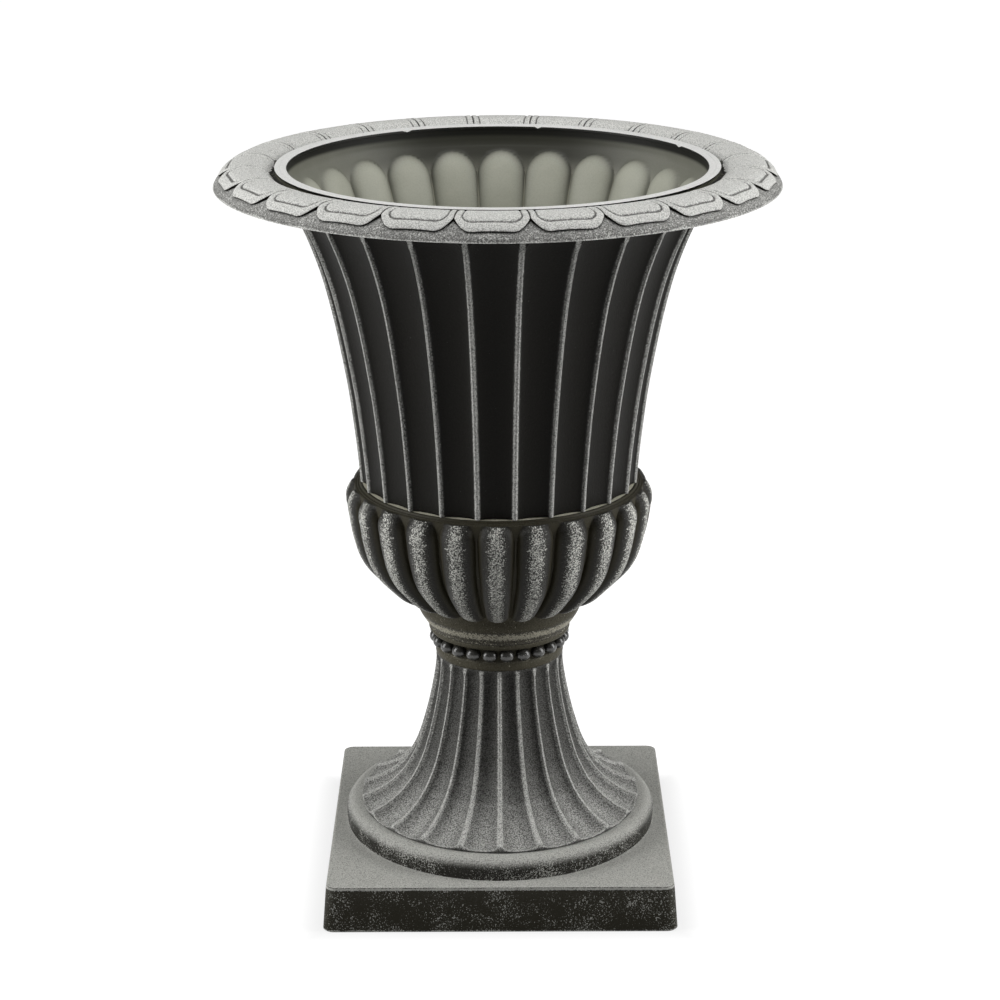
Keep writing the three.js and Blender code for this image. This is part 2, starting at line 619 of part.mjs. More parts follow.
// One wing, drawn as [share of the span, drop in nut heights], from the nut's top edge round to its foot
const WING_OUTLINE = [[0, -0.1], [0.7, 0.25], [1, 0.9], [0.6, 1.3], [0, 0.8]];

function wingNutSolid() {
  const body = BOLT_RADIUS + NUT_REACH;
  const side = (sign) => WING_OUTLINE.map(([out, drop]) =>
    new THREE.Vector2(sign * (body - NUT_WING_ROOT + out * (NUT_WING_SPAN + NUT_WING_ROOT)), -drop * NUT_HEIGHT));
  const shape = new THREE.Shape([...side(1), ...side(-1).reverse()]);
  const wings = new THREE.ExtrudeGeometry(shape, { depth: NUT_WING_THICKNESS, bevelEnabled: false });
  wings.rotateX(Math.PI / 2);
  wings.translate(0, NUT_WING_THICKNESS / 2, nutFoot + 0.8 * NUT_HEIGHT);
  return cylinder(body, NUT_HEIGHT, nutFoot)
    .add(solidOf(wings))
    .subtract(cylinder(BOLT_RADIUS + FIT, 3 * NUT_HEIGHT, nutFoot - NUT_HEIGHT));
}

function plinthScrewSolid(x, y) {
  const overlap = SCREW_HEAD_HEIGHT / 4;
  return cylinder(SCREW_RADIUS + SCREW_HEAD_REACH, SCREW_HEAD_HEIGHT, screwHeadTop - SCREW_HEAD_HEIGHT, x, y)
    .add(cylinder(SCREW_RADIUS, SCREW_LENGTH + overlap, screwHeadTop - overlap, x, y, SCREW_FACETS));
}

function drainPlugSolid() {
  const flangeFoot = bowlFloorTop + FIT;
  const stemRadius = DRAIN_HOLE_RADIUS - FIT;
  return cylinder(plugFlange, PLUG_FLANGE_THICKNESS, flangeFoot, drainOffset, 0)
    .add(cylinder(stemRadius, PLUG_STEM_LENGTH + 1, flangeFoot - PLUG_STEM_LENGTH, drainOffset, 0))
    .add(block(PLUG_TAB_THICKNESS, PLUG_TAB_WIDTH, PLUG_TAB_HEIGHT + 1, drainOffset, 0,
      flangeFoot + PLUG_FLANGE_THICKNESS - 1));
}

// ---------------------------------------------------------------- assembly

const urn = new THREE.Group();
const upper = new THREE.Group();
upper.rotation.z = THREE.MathUtils.degToRad(UPPER_TURN);
urn.add(upper);

urn.add(meshOf('plinth', plinthSolid(), PEWTER));
urn.add(meshOf('pedestal', pedestalSolid(), DARK_PEWTER));
screwPlaces().forEach(([x, y], i) => {
  urn.add(meshOf(`plinth_screw_${i + 1}`, plinthScrewSolid(x, y), ZINC));
});
upper.add(meshOf('bead_collar', collarSolid(), DARK_PEWTER));
upper.add(meshOf('gadroon_cup', cupSolid(), DARK_PEWTER));
upper.add(meshOf('fluted_bowl', bowlSolid(), RAW_PLASTIC));
upper.add(meshOf('rim_ring', rimSolid(), PEWTER));
upper.add(meshOf('bolt_seal', ringPlate(sealRadius, boltHole, SEAL_THICKNESS, sealFoot), RUBBER));
upper.add(meshOf('head_washer', ringPlate(washerRadius, boltHole, WASHER_THICKNESS, headWasherFoot), ZINC));
upper.add(meshOf('tie_bolt', tieBoltSolid(), ZINC));
upper.add(meshOf('nut_washer', ringPlate(washerRadius, boltHole, WASHER_THICKNESS, nutWasherFoot), ZINC));
upper.add(meshOf('wing_nut', wingNutSolid(), ZINC));
upper.add(meshOf('drain_plug', drainPlugSolid(), RUBBER));

export default urn;
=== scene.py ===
import math
from collections import namedtuple

import bmesh
import bpy
from mathutils import Matrix, Vector


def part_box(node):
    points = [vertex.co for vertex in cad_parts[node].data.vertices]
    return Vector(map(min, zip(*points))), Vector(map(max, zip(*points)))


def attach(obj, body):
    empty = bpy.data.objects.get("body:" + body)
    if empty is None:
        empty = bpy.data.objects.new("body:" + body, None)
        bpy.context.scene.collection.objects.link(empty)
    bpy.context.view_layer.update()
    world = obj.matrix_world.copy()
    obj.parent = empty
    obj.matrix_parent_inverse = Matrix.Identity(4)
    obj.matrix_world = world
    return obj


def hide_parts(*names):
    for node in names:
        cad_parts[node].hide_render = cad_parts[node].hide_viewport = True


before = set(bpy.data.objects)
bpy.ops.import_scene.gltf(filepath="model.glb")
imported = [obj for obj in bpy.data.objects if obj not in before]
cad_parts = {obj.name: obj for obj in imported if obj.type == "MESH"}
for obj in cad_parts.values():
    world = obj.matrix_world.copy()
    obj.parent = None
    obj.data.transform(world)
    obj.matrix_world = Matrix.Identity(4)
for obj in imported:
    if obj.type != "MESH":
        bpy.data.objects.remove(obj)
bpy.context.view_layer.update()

bl_info = {
    "name": "Garden Urn Planter",
    "version": (1, 0, 0),
    "blender": (4, 5, 0),
    "location": "3D View > Sidebar > Urn",
    "description": "Builds a fluted garden urn with petal rim, gadrooned cup and square plinth",
    "category": "Add Mesh",
}

MM = 0.001
FRONT = -math.pi / 2  # the front of the urn faces -Y
WELD = 2e-6  # points closer than this are one
SHARP_ANGLE = math.radians(38)  # edges that turn more than this stay crisp

PLINTH_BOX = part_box("plinth")
RIM_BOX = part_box("rim_ring")
PEDESTAL_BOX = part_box("pedestal")
PLUG_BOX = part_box("drain_plug")


# ------ settings

def length(name, description, default):
    return bpy.props.FloatProperty(name=name, description=description, default=default, unit="LENGTH")


def colour(name, description, default):
    return bpy.props.FloatVectorProperty(name=name, description=description, default=default,
                                         subtype="COLOR", size=3, min=0, max=1)


class UrnSizes(bpy.types.PropertyGroup):
    """Sizes of the urn's ornament"""
    ribs: bpy.props.IntProperty(name="Ribs", default=24, min=8,
                                description="Flutes, gadroons, petals and beads round the bowl")
    pedestal_flutes: bpy.props.IntProperty(name="Pedestal flutes", default=22, min=8,
                                           description="Flutes round the pedestal")
    upper_turn: bpy.props.FloatProperty(name="Upper turn", default=math.radians(-1.1), unit="ROTATION",
                                        description="Turn of the bowl against the plinth")
    ridge_width: length("Ridge width", "Flat crown of a ridge between two flutes of the bowl", 2.2 * MM)
    gadroon_gap: length("Gadroon gap", "Ground between two gadroons", 2.4 * MM)
    bead_radius: length("Bead radius", "Radius of a bead on the collar", 5.5 * MM)
    plinth_wall: length("Plinth wall", "Wall of the hollow plinth", 3 * MM)
    corner_radius: length("Corner radius", "Radius of the plinth's corners", 7.5 * MM)


class UrnFinish(bpy.types.PropertyGroup):
    """Colours of the urn"""
    ground: colour("Ground", "Near-black plastic in the hollows", (0.0105, 0.0096, 0.0076))
    stain: colour("Stain", "Olive-brown tint in the deepest grooves", (0.032, 0.028, 0.015))
    silver: colour("Silver", "Dry-brushed paint on the raised parts", (0.52, 0.52, 0.485))
    pale: colour("Pale paint", "Lighter paint on the rim and the lip", (0.64, 0.64, 0.61))
    olive: colour("Olive", "Dull brushed paint on the cup's neck and the collar", (0.55, 0.52, 0.42))
    plastic: colour("Bare plastic", "Unpainted inside of the bowl", (0.47, 0.475, 0.4))
    zinc: colour("Zinc", "Plated steel of bolt, nut and screws", (0.60, 0.62, 0.64))
    rubber: colour("Rubber", "Drain plug and seal", (0.02, 0.02, 0.02))


class UrnStage(bpy.types.PropertyGroup):
    """Camera, floor and lamps"""
    eye_distance: length("Eye distance", "Camera in front of the urn's axis", 1.828)
    eye_height: length("Eye height", "Camera above the ground", 0.898)
    eye_pitch: bpy.props.FloatProperty(name="Pitch", default=math.radians(18.39), unit="ROTATION",
                                       description="How far the camera looks down")
    eye_roll: bpy.props.FloatProperty(name="Roll", default=math.radians(-0.2), unit="ROTATION",
                                      description="Lean of the camera about its own line of sight")
    eye_aside: length("Eye aside", "Camera to the right of the urn's axis", 0.8 * MM)
    lens: bpy.props.FloatProperty(name="Lens", description="Focal length in millimetres", default=93.09)
    side_power: bpy.props.FloatProperty(name="Side lamps", description="Watts of each side lamp", default=20)
    top_power: bpy.props.FloatProperty(name="Top lamp", description="Watts of the top lamp", default=17)
    world_light: bpy.props.FloatProperty(name="World", description="Strength of the world", default=0.12)


def sizes():
    return bpy.context.scene.urn_sizes


def finish():
    return bpy.context.scene.urn_finish


# ------ curves and rows

# One turn of a moulded surface: crest and trough are (radius, height), and a relief function says how
# far each point of the turn lies from crest to trough. centre is the turn's own axis along X. raised
# says how much of the brush's paint a row without relief takes.
Row = namedtuple("Row", "crest trough centre skin reliefs raised")


def plain(radius, height, skin=0, centre=0.0, raised=0.0):
    point = Vector((radius * MM, height * MM))
    return Row(point, point, centre * MM, skin, False, raised)


def ribbed(crest, trough, skin=0):
    return Row(crest, trough, 0.0, skin, True, 0.0)


def millimetres(*points):
    return [Vector(p) * MM for p in points]


def through(points, steps):
    """Points along a smooth curve through the given ones, ends included."""
    padded = [2 * points[0] - points[1], *points, 2 * points[-1] - points[-2]]
    found = []
    for i in range(steps + 1):
        along = i / steps * (len(points) - 1)
        k = min(int(along), len(points) - 2)
        t = along - k
        a, b, c, d = padded[k:k + 4]
        found.append(0.5 * (2 * b + (c - a) * t + (2 * a - 5 * b + 4 * c - d) * t ** 2
                            + (3 * b - a - 3 * c + d) * t ** 3))
    return found


def normals(points):
    """Outward normals of a wall that is listed from its foot upwards."""
    found = []
    for i in range(len(points)):
        along = points[min(i + 1, len(points) - 1)] - points[max(i - 1, 0)]
        found.append(Vector((along.y, -along.x)).normalized())
    return found


def clamp(value, low=0.0, high=1.0):
    return max(low, min(high, value))


def mix(a, b, t):
    return a + (b - a) * t


# ------ turned pieces

def rib_columns(count, places, turn):
    """[(angle, place)] round a full turn; place is the distance from the nearest rib edge, in ribs."""
    across = [*places, *[1 - p for p in reversed(places[1:-1])]]
    pitch = 2 * math.pi / count
    start = FRONT + turn + pitch / 2
    return [(start + (k + p) * pitch, min(p, 1 - p)) for k in range(count) for p in across]


def plain_columns(count):
    return [(2 * math.pi * i / count, 0.0) for i in range(count)]


def spin_outline(bm, count, steps, closed):
    """Spins a chain of vertices into a skin, and returns a layer that holds each vertex's row."""
    tag = bm.verts.layers.int.new("row")
    chain = [bm.verts.new((1 + 0.001 * i, 0, i)) for i in range(count)]
    for i, v in enumerate(chain):
        v[tag] = i
    edges = [bm.edges.new(pair) for pair in zip(chain, chain[1:])]
    if closed:
        edges.append(bm.edges.new((chain[-1], chain[0])))
    bmesh.ops.spin(bm, geom=chain + edges, cent=(0, 0, 0), axis=(0, 0, 1), dvec=(0, 0, 0),
                   angle=2 * math.pi, steps=steps, use_merge=True, use_duplicate=False)
    return tag


def turned(rows, columns, relief=None, closed=True, square=None):
    """A moulded turning. relief(row, index, place) gives (share of the way to the trough, raised)."""
    bm = bmesh.new()
    steps = len(columns)
    tag = spin_outline(bm, len(rows), steps, closed)
    raised = bm.verts.layers.float.new("raised")
    for v in bm.verts:
        index = v[tag]
        row = rows[index]
        column = round(math.atan2(v.co.y, v.co.x) / (2 * math.pi) * steps) % steps
        angle, place = columns[column]
        point = row.crest
        v[raised] = row.raised
        if row.reliefs:
            depth, v[raised] = relief(row, index, place)
            point = mix(row.crest, row.trough, depth)
        spot = Vector((point.x * math.cos(angle), point.x * math.sin(angle)))
        if square and index in square:
            spot = square_spot(point.x, square[index], column, steps)
        v.co = Vector((spot.x + row.centre, spot.y, point.y))
    for f in bm.faces:
        f.material_index = max(rows[v[tag]].skin for v in f.verts)
    return bm


def square_spot(half, radius, column, steps):
    """A column's place on a rounded square, with a third of the columns on the corners."""
    per_side = steps // 4
    side, k = divmod(column + per_side // 2, per_side)
    per_corner = per_side // 3
    straight = per_side - per_corner
    inner = half - radius
    bend = per_corner / 2
    if bend <= k <= per_side - bend:
        spot = Vector((half, mix(-inner, inner, (k - bend) / straight)))
    else:
        sign = -1 if k < bend else 1
        turn = (k if k < bend else k - per_side) / bend * math.pi / 4 + sign * math.pi / 4
        spot = Vector((inner, sign * inner)) + radius * Vector((math.cos(turn), math.sin(turn)))
    return Matrix.Rotation(side * math.pi / 2, 2) @ spot


def close_up(bm):
    bmesh.ops.remove_doubles(bm, verts=bm.verts, dist=WELD)
    bmesh.ops.dissolve_degenerate(bm, dist=WELD, edges=bm.edges)
    bmesh.ops.recalc_face_normals(bm, faces=bm.faces)


def new_mesh(name, bm, *materials):
    """Turns a bmesh into a mesh, and frees it."""
    mesh = bpy.data.meshes.new(name)
    bm.to_mesh(mesh)
    bm.free()
    for material in materials:
        mesh.materials.append(material)
    return mesh


def new_object(name, data):
    made = bpy.data.objects.new(name, data)
    bpy.context.scene.collection.objects.link(made)
    return made


def join(bm, other):
    """Adds another bmesh's shells to this one."""
    spare = new_mesh("spare", other)
    bm.from_mesh(spare)
    bpy.data.meshes.remove(spare)


def rotate(bm, angle):
    """Turns all of a bmesh about the urn's axis."""
    bmesh.ops.rotate(bm, cent=(0, 0, 0), matrix=Matrix.Rotation(angle, 3, "Z"), verts=bm.verts)


def add_piece(name, bm, materials, body, slot, *nodes):
    """Makes an object of a finished bmesh, which stands for CAD nodes and rides on a body."""
    close_up(bm)
    for f in bm.faces:
        f.smooth = True
    for e in bm.edges:
        e.smooth = len(e.link_faces) == 2 and e.calc_face_angle() < SHARP_ANGLE
    piece = new_object(name, new_mesh(name, bm, *materials))
    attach(piece, body)
    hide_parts(*nodes)
    return piece


def arched(row, place, count, land, past=0.0):
    """Share of a rib's depth at a place, and the share of the way in from the rib's edge.

    land is the ground between two ribs; past is how far the row lies beyond the rib's straight part.
    """
    half = row.crest.x * math.pi / count
    reach = half - land / 2
    inside = reach - math.hypot((1 - 2 * place) * half, max(0.0, past))
    q = clamp(inside / reach)
    return math.sqrt(1 - (1 - q) ** 2), q


RIDGE_FADE = 1.7 * MM  # width over which a ridge's paint fades out beside it


def on_ridge(row, place, count, land):
    """1 on the ridge between two flutes, falling to 0 on either side."""
    across = 2 * place * row.crest.x * math.pi / count
    return clamp(1 - (across - land / 2) / RIDGE_FADE)


# ------ plinth

# Columns of ribbed surfaces crowd round the rib's edges, where the shape turns quickly
RIB_PLACES = (0, 0.022, 0.042, 0.056, 0.075, 0.105, 0.15, 0.21, 0.29, 0.39, 0.5)


TORUS_HEIGHT = 16.5
PLINTH_TAPER = 2.75  # how much narrower the plinth is at its top, on each side
PLINTH_COLUMNS = 288
EDGE_PAINT = {2: 0.6, 5: 1.0, 6: 1.0}  # paint on the outline's points at the foot and the top edge
TORUS_PAINT = 0.24


def plinth_rows():
    foot = PLINTH_BOX[1].x / MM
    top_half = foot - PLINTH_TAPER
    deck = PLINTH_BOX[1].z / MM
    wall = sizes().plinth_wall / MM
    slab = deck - TORUS_HEIGHT
    outside = [(foot - wall, 0), (foot - 0.7, 0), (foot, 0.8), (foot - 0.1, 2.0),
               (mix(foot, top_half, 0.9), slab - 3.0), (top_half, slab - 2.0), (top_half, slab - 1.2),
               (top_half - 0.25, slab - 0.4), (top_half - 1.1, slab), (top_half - 1.9, slab)]
    torus = [(121, slab), (118.6, slab), (117.7, slab + 0.2), (117.5, slab + 1.2), (118.1, slab + 4),
             (118.3, slab + 8), (117.7, slab + 11.3), (115.6, slab + 14.3), (112.8, slab + 15.9),
             (109.8, deck)]
    under = [(97, deck), (60, deck), (60, deck - wall), (108, deck - wall), (113.6, slab + 11),
             (114.9, slab + 8), (114.5, slab), (114.5, slab - wall)]
    inside = [(top_half - wall, slab - wall)]
    rows = [plain(*p, raised=EDGE_PAINT.get(i, 0)) for i, p in enumerate(outside)]
    rows += [plain(*p, raised=TORUS_PAINT) for p in torus] + [plain(*p) for p in under + inside]
    corner = sizes().corner_radius
    squares = {i: corner for i in range(len(outside))}
    for i in (0, len(rows) - 1):
        squares[i] = corner - sizes().plinth_wall
    return rows, squares


RIB_START, RIB_END = 114.5 * MM, 168 * MM
RIB_HEIGHT, RIB_TOP, RIB_WALL = 19 * MM, 32.5 * MM, 2.5 * MM


def corner_rib(angle):
    """A stiffening rib under the plinth's top, from the torus to a corner."""
    bm = bmesh.new()
    bmesh.ops.create_cube(bm, size=1)
    bmesh.ops.scale(bm, vec=(RIB_END - RIB_START, RIB_WALL, RIB_HEIGHT), verts=bm.verts)
    middle = (RIB_START + RIB_END) / 2
    bmesh.ops.translate(bm, vec=(middle, 0, RIB_TOP - RIB_HEIGHT / 2), verts=bm.verts)
    rotate(bm, angle)
    return bm


class AddPlinth(bpy.types.Operator):
    """Square hollow plinth with its round moulding"""
    bl_idname = "mesh.urn_plinth"
    bl_label = "Plinth"

    def execute(self, context):
        rows, squares = plinth_rows()
        bm = turned(rows, plain_columns(PLINTH_COLUMNS), square=squares)
        for quarter in range(4):
            join(bm, corner_rib(math.radians(45 + 90 * quarter)))
        add_piece("urn_plinth", bm, [plinth_paint()], "urn", "pewter_light", "plinth")
        return {"FINISHED"}


# ------ pedestal

PEDESTAL_LINE = ((105.4, 57.5), (96, 60.6), (84, 68), (76.8, 75), (72.6, 80), (64.4, 95), (57.8, 115),
                 (52.9, 135), (49.3, 155), (47.9, 171.2))
PEDESTAL_STEPS, INSIDE_EVERY = 60, 6  # the inside is plain and takes every sixth step
PEDESTAL_FOOT_RIM = 8.5  # width of the rim that stands on the plinth
PEDESTAL_INSET = 0.05  # how far the foot stays inside the CAD's
PEDESTAL_SPIGOT = 5  # the CAD's locating ring at the top, hidden in the collar
PEDESTAL_RIDGE = 0.1  # share of a flute's width that is ridge
PEDESTAL_ARCH_TOP = 170.9 * MM
PEDESTAL_FLARE = 92 * MM  # below this the floors of the flutes take painted light too
PEDESTAL_FLARE_DEPTH = 30 * MM  # height over which that painted light comes in
# how much painted light the flute floors take near the foot
PEDESTAL_FLOOR_LIGHT = 0.45
PEDESTAL_SCALLOP = 57.4 * MM  # the foot's scalloped edge, below the flutes
# painted highlight along the scalloped edge of the foot
SCALLOP_HIGHLIGHT = 0.75
FLUTE_DEPTHS = 3.4, 5.2  # of the pedestal's flutes, in its neck and on its flare
PEDESTAL_WALL = 7 * MM  # from the ridges to the inside
PEDESTAL_BORE = 4.6  # the tie bolt's hole
PEDESTAL_CAP = 3.7  # the plate at the pedestal's top


def pedestal_rows():
    foot, top = PEDESTAL_BOX[0].z / MM, PEDESTAL_BOX[1].z / MM - PEDESTAL_SPIGOT
    edge = PEDESTAL_BOX[1].x / MM - PEDESTAL_INSET
    line = through(millimetres(*PEDESTAL_LINE), PEDESTAL_STEPS)
    rows = [plain(edge - PEDESTAL_FOOT_RIM, foot), plain(edge - 0.5, foot), plain(edge, foot + 0.5),
            ribbed(*millimetres((edge, foot + 4.6), (edge, foot + 0.9))),
            ribbed(*millimetres((edge - 0.3, foot + 5.3), (edge - 0.2, foot + 1.3)))]
    for point, normal in zip(line, normals(line)):
        depth = mix(*FLUTE_DEPTHS, clamp((point.x / MM - 48) / 30)) * MM
        rows.append(ribbed(point, point - depth * normal))
    rows += [plain(PEDESTAL_LINE[-1][0], top), plain(PEDESTAL_BORE, top)]
    rows += [plain(PEDESTAL_BORE, top - PEDESTAL_CAP), plain(44.6, top - PEDESTAL_CAP)]
    for point, normal in reversed(list(zip(line, normals(line)))[::INSIDE_EVERY][1:]):
        under = (point - PEDESTAL_WALL * normal) / MM
        rows.append(plain(under.x, under.y))
    return rows


def pedestal_relief(row, index, place):
    count = sizes().pedestal_flutes
    half = row.crest.x * math.pi / count
    land = 2 * half * PEDESTAL_RIDGE
    depth, _ = arched(row, place, count, land, row.crest.y - (PEDESTAL_ARCH_TOP - half))
    middle = clamp((place - 0.12) / 0.3)  # 0 beside a ridge, 1 on the floor of a flute: painted shade beside the ridges, painted light on the floors
    flared = clamp((PEDESTAL_FLARE - row.crest.y) / PEDESTAL_FLARE_DEPTH)
    ridge = on_ridge(row, place, count, land)
    # the ridges take brushed paint, the flute floors near the foot painted light
    brushed = max(ridge, PEDESTAL_FLOOR_LIGHT * middle * flared)
    # painted highlight along the foot's scalloped edge
    if row.crest.y < PEDESTAL_SCALLOP:
        brushed = max(brushed, SCALLOP_HIGHLIGHT)
    return depth, brushed


class AddPedestal(bpy.types.Operator):
    """Hollow fluted trumpet that stands on the plinth"""
    bl_idname = "mesh.urn_pedestal"
    bl_label = "Pedestal"

    def execute(self, context):
        count = sizes().pedestal_flutes
        columns = rib_columns(count, RIB_PLACES, math.pi / count)
        bm = turned(pedestal_rows(), columns, pedestal_relief)
        add_piece("urn_pedestal", bm, [pedestal_paint()], "urn", "pewter_dark", "pedestal")
        return {"FINISHED"}


# ------ collar

COLLAR_LINE = ((41, 172.1), (47.8, 172.1), (48.2, 172.6), (48.3, 176), (48.1, 178.2), (47.6, 178.9),
               (46.9, 179.2), (46.6, 180), (46.4, 183), (46.4, 187), (46.8, 188.6), (47.9, 189.4),
               (50.8, 189.9), (52.3, 190.7), (53.1, 192), (53.2, 193), (52.9, 193.8), (52.4, 194.1),
               (41, 194.1))
BEAD_HEIGHT = 184.5 * MM
BEAD_CIRCLE = 48.1 * MM
BEAD_SHAPE = 0.9, 1.03, 0.89  # a bead's shares of its radius: out, along the ring and up
COLLAR_COLUMNS = 144


def bead(angle):
    bm = bmesh.new()
    bmesh.ops.create_uvsphere(bm, u_segments=24, v_segments=14, radius=sizes().bead_radius)
    bmesh.ops.scale(bm, vec=BEAD_SHAPE, verts=bm.verts)
    bmesh.ops.translate(bm, vec=(BEAD_CIRCLE, 0, BEAD_HEIGHT), verts=bm.verts)
    rotate(bm, angle)
    raised = bm.verts.layers.float.new("raised")
    for v in bm.verts:
        v[raised] = clamp((math.hypot(v.co.x, v.co.y) - BEAD_CIRCLE) / sizes().bead_radius)
    for f in bm.faces:
        f.material_index = 1
    return bm


class AddCollar(bpy.types.Operator):
    """Collar with its ring of beads"""
    bl_idname = "mesh.urn_collar"
    bl_label = "Bead collar"

    def execute(self, context):
        bm = turned([plain(*p) for p in COLLAR_LINE], plain_columns(COLLAR_COLUMNS))
        count = sizes().ribs
        for i in range(count):
            join(bm, bead(FRONT + sizes().upper_turn + (i + 0.5) * 2 * math.pi / count))
        add_piece("urn_bead_collar", bm, [collar_paint(), bead_paint()], "urn", "pewter_dark",
                  "bead_collar")
        return {"FINISHED"}


# ------ cup

CUP_NECK = ((37.7, 189.4), (40.7, 189.4), (40.7, 194.4), (52.8, 194.4), (53.3, 194.9), (53.5, 195.6),
            (53.35, 195.9), (53.5, 196.2), (54.1, 196.9), (54.0, 197.2), (54.2, 197.5), (55.4, 199),
            (57.2, 201.6), (59.2, 204.8), (60.6, 207.6), (61.1, 209.8), (61.0, 212), (60.5, 214),
            (60.2, 216), (60.4, 217.6))
GADROON_CROWN = ((61.6, 218.5), (70, 219.3), (80, 224.6), (90.9, 235), (99.8, 245), (105.6, 255),
                 (109.2, 266), (111.8, 278), (113.4, 290), (113.6, 298), (112.6, 305.8))
GADROON_GROUND = ((61.2, 218.9), (67.5, 222.2), (75.5, 229), (83.6, 238), (91.4, 247.5), (97.4, 257),
                  (101.6, 268), (104.4, 279), (106.2, 290), (107.1, 298), (107.2, 305.8))
CUP_SHOULDER = ((106.7, 306.2), (106.0, 306.4), (105.7, 306.2), (105.4, 306.4), (105.1, 306.9),
                (104.1, 307.1), (103.85, 306.85), (103.6, 307.1), (103.4, 307.9), (102.9, 308.4))
CUP_INSIDE = ((96.3, 308.4), (96.3, 304.2), (103.4, 299), (102.9, 290), (98.4, 268), (94, 257), (80.4, 238),
              (64, 224), (57, 218.4), (55.2, 217.4), (4.6, 217.4), (4.6, 214.4), (53, 214.4), (53, 209),
              (38.4, 197.4))
GADROON_ROWS = 96
GADROON_TOP = 305.4 * MM
GADROON_FOOT_STRETCH = 0.6  # how much longer a gadroon's foot tapers than its top
GADROON_OVERRUN = 1.5 * MM  # how far a gadroon's round end runs on past the last ribbed row
STREAK_END = 0.35  # the brushed streak runs on into a gadroon's round end
SEAT_PAINT_REACH = 101.3  # pale paint on the ledge that the bowl stands on ends here
COVE_BAND, COVE_BAND_HALF = 202.5, 4.5  # middle of the brushed band on the cove, and its half width
COVE_FOOT, COVE_FOOT_PAINT = 197.3, 0.35
PARTING_LINE = 290 * MM  # where the mould's two halves met, a fine step across each gadroon
PARTING_STEP = 0.35 * MM
PARTING_FADE = 6 * MM  # below the gadroons' tops, where the step dies out
PARTING_HIGHLIGHT = 1.3 * MM  # painted highlight along that step: the height below it where a crown takes full paint


def neck_brush(height):
    """Paint on the cup's neck: a brushed band on the cove, less below it and none above."""
    if height <= COVE_FOOT:
        return COVE_FOOT_PAINT
    return clamp(1.2 - abs(height - COVE_BAND) / COVE_BAND_HALF)


def cup_rows():
    crowns = through(millimetres(*GADROON_CROWN), GADROON_ROWS)
    grounds = through(millimetres(*GADROON_GROUND), GADROON_ROWS)
    rows = [plain(*p, skin=2, raised=neck_brush(p[1])) for p in CUP_NECK]
    for crown, ground in zip(crowns, grounds):
        if crown.y > PARTING_LINE:
            crown = crown + Vector((PARTING_STEP, 0)) * clamp((GADROON_TOP - crown.y) / PARTING_FADE)
        rows.append(ribbed(crown, ground))
    rows += [plain(*p) for p in CUP_SHOULDER]
    rows += [plain(SEAT_PAINT_REACH, CUP_INSIDE[0][1]), plain(*CUP_INSIDE[0], skin=1)]
    return rows + [plain(*p) for p in CUP_INSIDE[1:]]


def path_lengths(rows):
    """How far each row lies along the crest line, from the first."""
    total, found = 0.0, [0.0]
    for a, b in zip(rows, rows[1:]):
        total += (b.crest - a.crest).length
        found.append(total)
    return found


class AddCup(bpy.types.Operator):
    """Cup with gadroons that holds the foot of the bowl"""
    bl_idname = "mesh.urn_cup"
    bl_label = "Gadrooned cup"

    def execute(self, context):
        rows = cup_rows()
        lengths = path_lengths(rows)
        lobes = [i for i, row in enumerate(rows) if row.reliefs]
        foot = lengths[lobes[0]]
        top = lengths[lobes[-1]] + GADROON_OVERRUN
        count = sizes().ribs

        def lobe(row, index, place):
            half = row.crest.x * math.pi / count
            reach = half - sizes().gadroon_gap / 2
            past = max(lengths[index] - (top - reach),
                       GADROON_FOOT_STRETCH * (foot + reach - lengths[index]))
            depth, _ = arched(row, place, count, sizes().gadroon_gap, past)
            _, crown = arched(row, place, count, sizes().gadroon_gap, STREAK_END * past)
            # painted highlight: a thin light line just below the parting step
            if crown > 0.5 and 0 < PARTING_LINE - row.crest.y < PARTING_HIGHLIGHT:
                crown = 1.0
            return 1 - depth, crown

        bm = turned(rows, rib_columns(count, RIB_PLACES, sizes().upper_turn), lobe)
        add_piece("urn_gadroon_cup", bm, [cup_paint(), ledge_paint(), neck_paint()], "urn", "pewter_dark",
                  "gadroon_cup")
        return {"FINISHED"}


# ------ bowl

BOWL_LINE = ((102.6, 308.7), (104.3, 330), (107.0, 355), (110.2, 380), (114.4, 405), (120.2, 435),
             (127.6, 465), (136.2, 490), (145.4, 511), (152.4, 527.5))
BOWL_FLUTE_DEPTHS = 4.0, 6.2  # at the bowl's foot and below the lip
BOWL_FLUTED_HEIGHT = 217 * MM
BOWL_STEPS, BOWL_FINE_FROM = 126, 90  # steps up the flutes; below the second only every third is kept
BOWL_WALL = 3 * MM
PLUG_RADIUS, DRAIN_RADIUS = 10.5, 7.0
ARCH_TOP = 526 * MM
INSIDE_GROOVE = 1.2 * MM  # ground between two bulges on the inside
RIDGE_PAINT_PAST = 12 * MM  # the ridges' paint stops this far past the flutes' straight part
RIDGE_PAINT_END = 2 * MM  # height over which it fades out there
WELL = ((93.0, 306), (92.9, 290), (91.5, 270), (85.8, 255), (77.6, 245), (70.1, 236), (63.2, 230),
        (57.8, 226), (52.5, 222.5), (50.5, 220.7))
WELL_OUTSIDE = ((52.7, 217.7), (58, 222), (63, 226), (68.1, 230), (73.8, 236), (81.4, 245), (89.5, 255),
                (94.7, 270), (96, 290), (96, 308.2))
LIP = ((153.5, 529.5), (153.5, 540.9), (156, 540.9), (158.9, 542.5), (159.15, 542.9), (159.12, 543.6),
       (158.85, 543.85), (157.2, 543.9), (155.5, 543.88), (155.25, 543.7), (155, 543.84), (152.3, 543.75),
       (151.3, 543.6), (150.7, 543.2), (150.4, 542.6), (150.35, 541.4), (150.8, 541.0), (150.75, 539),
       (150.5, 533), (150.2, 529.5))
LIP_PAINT_FROM, LIP_PAINT_TO = 6, 12  # points of the lip that carry the pale paint
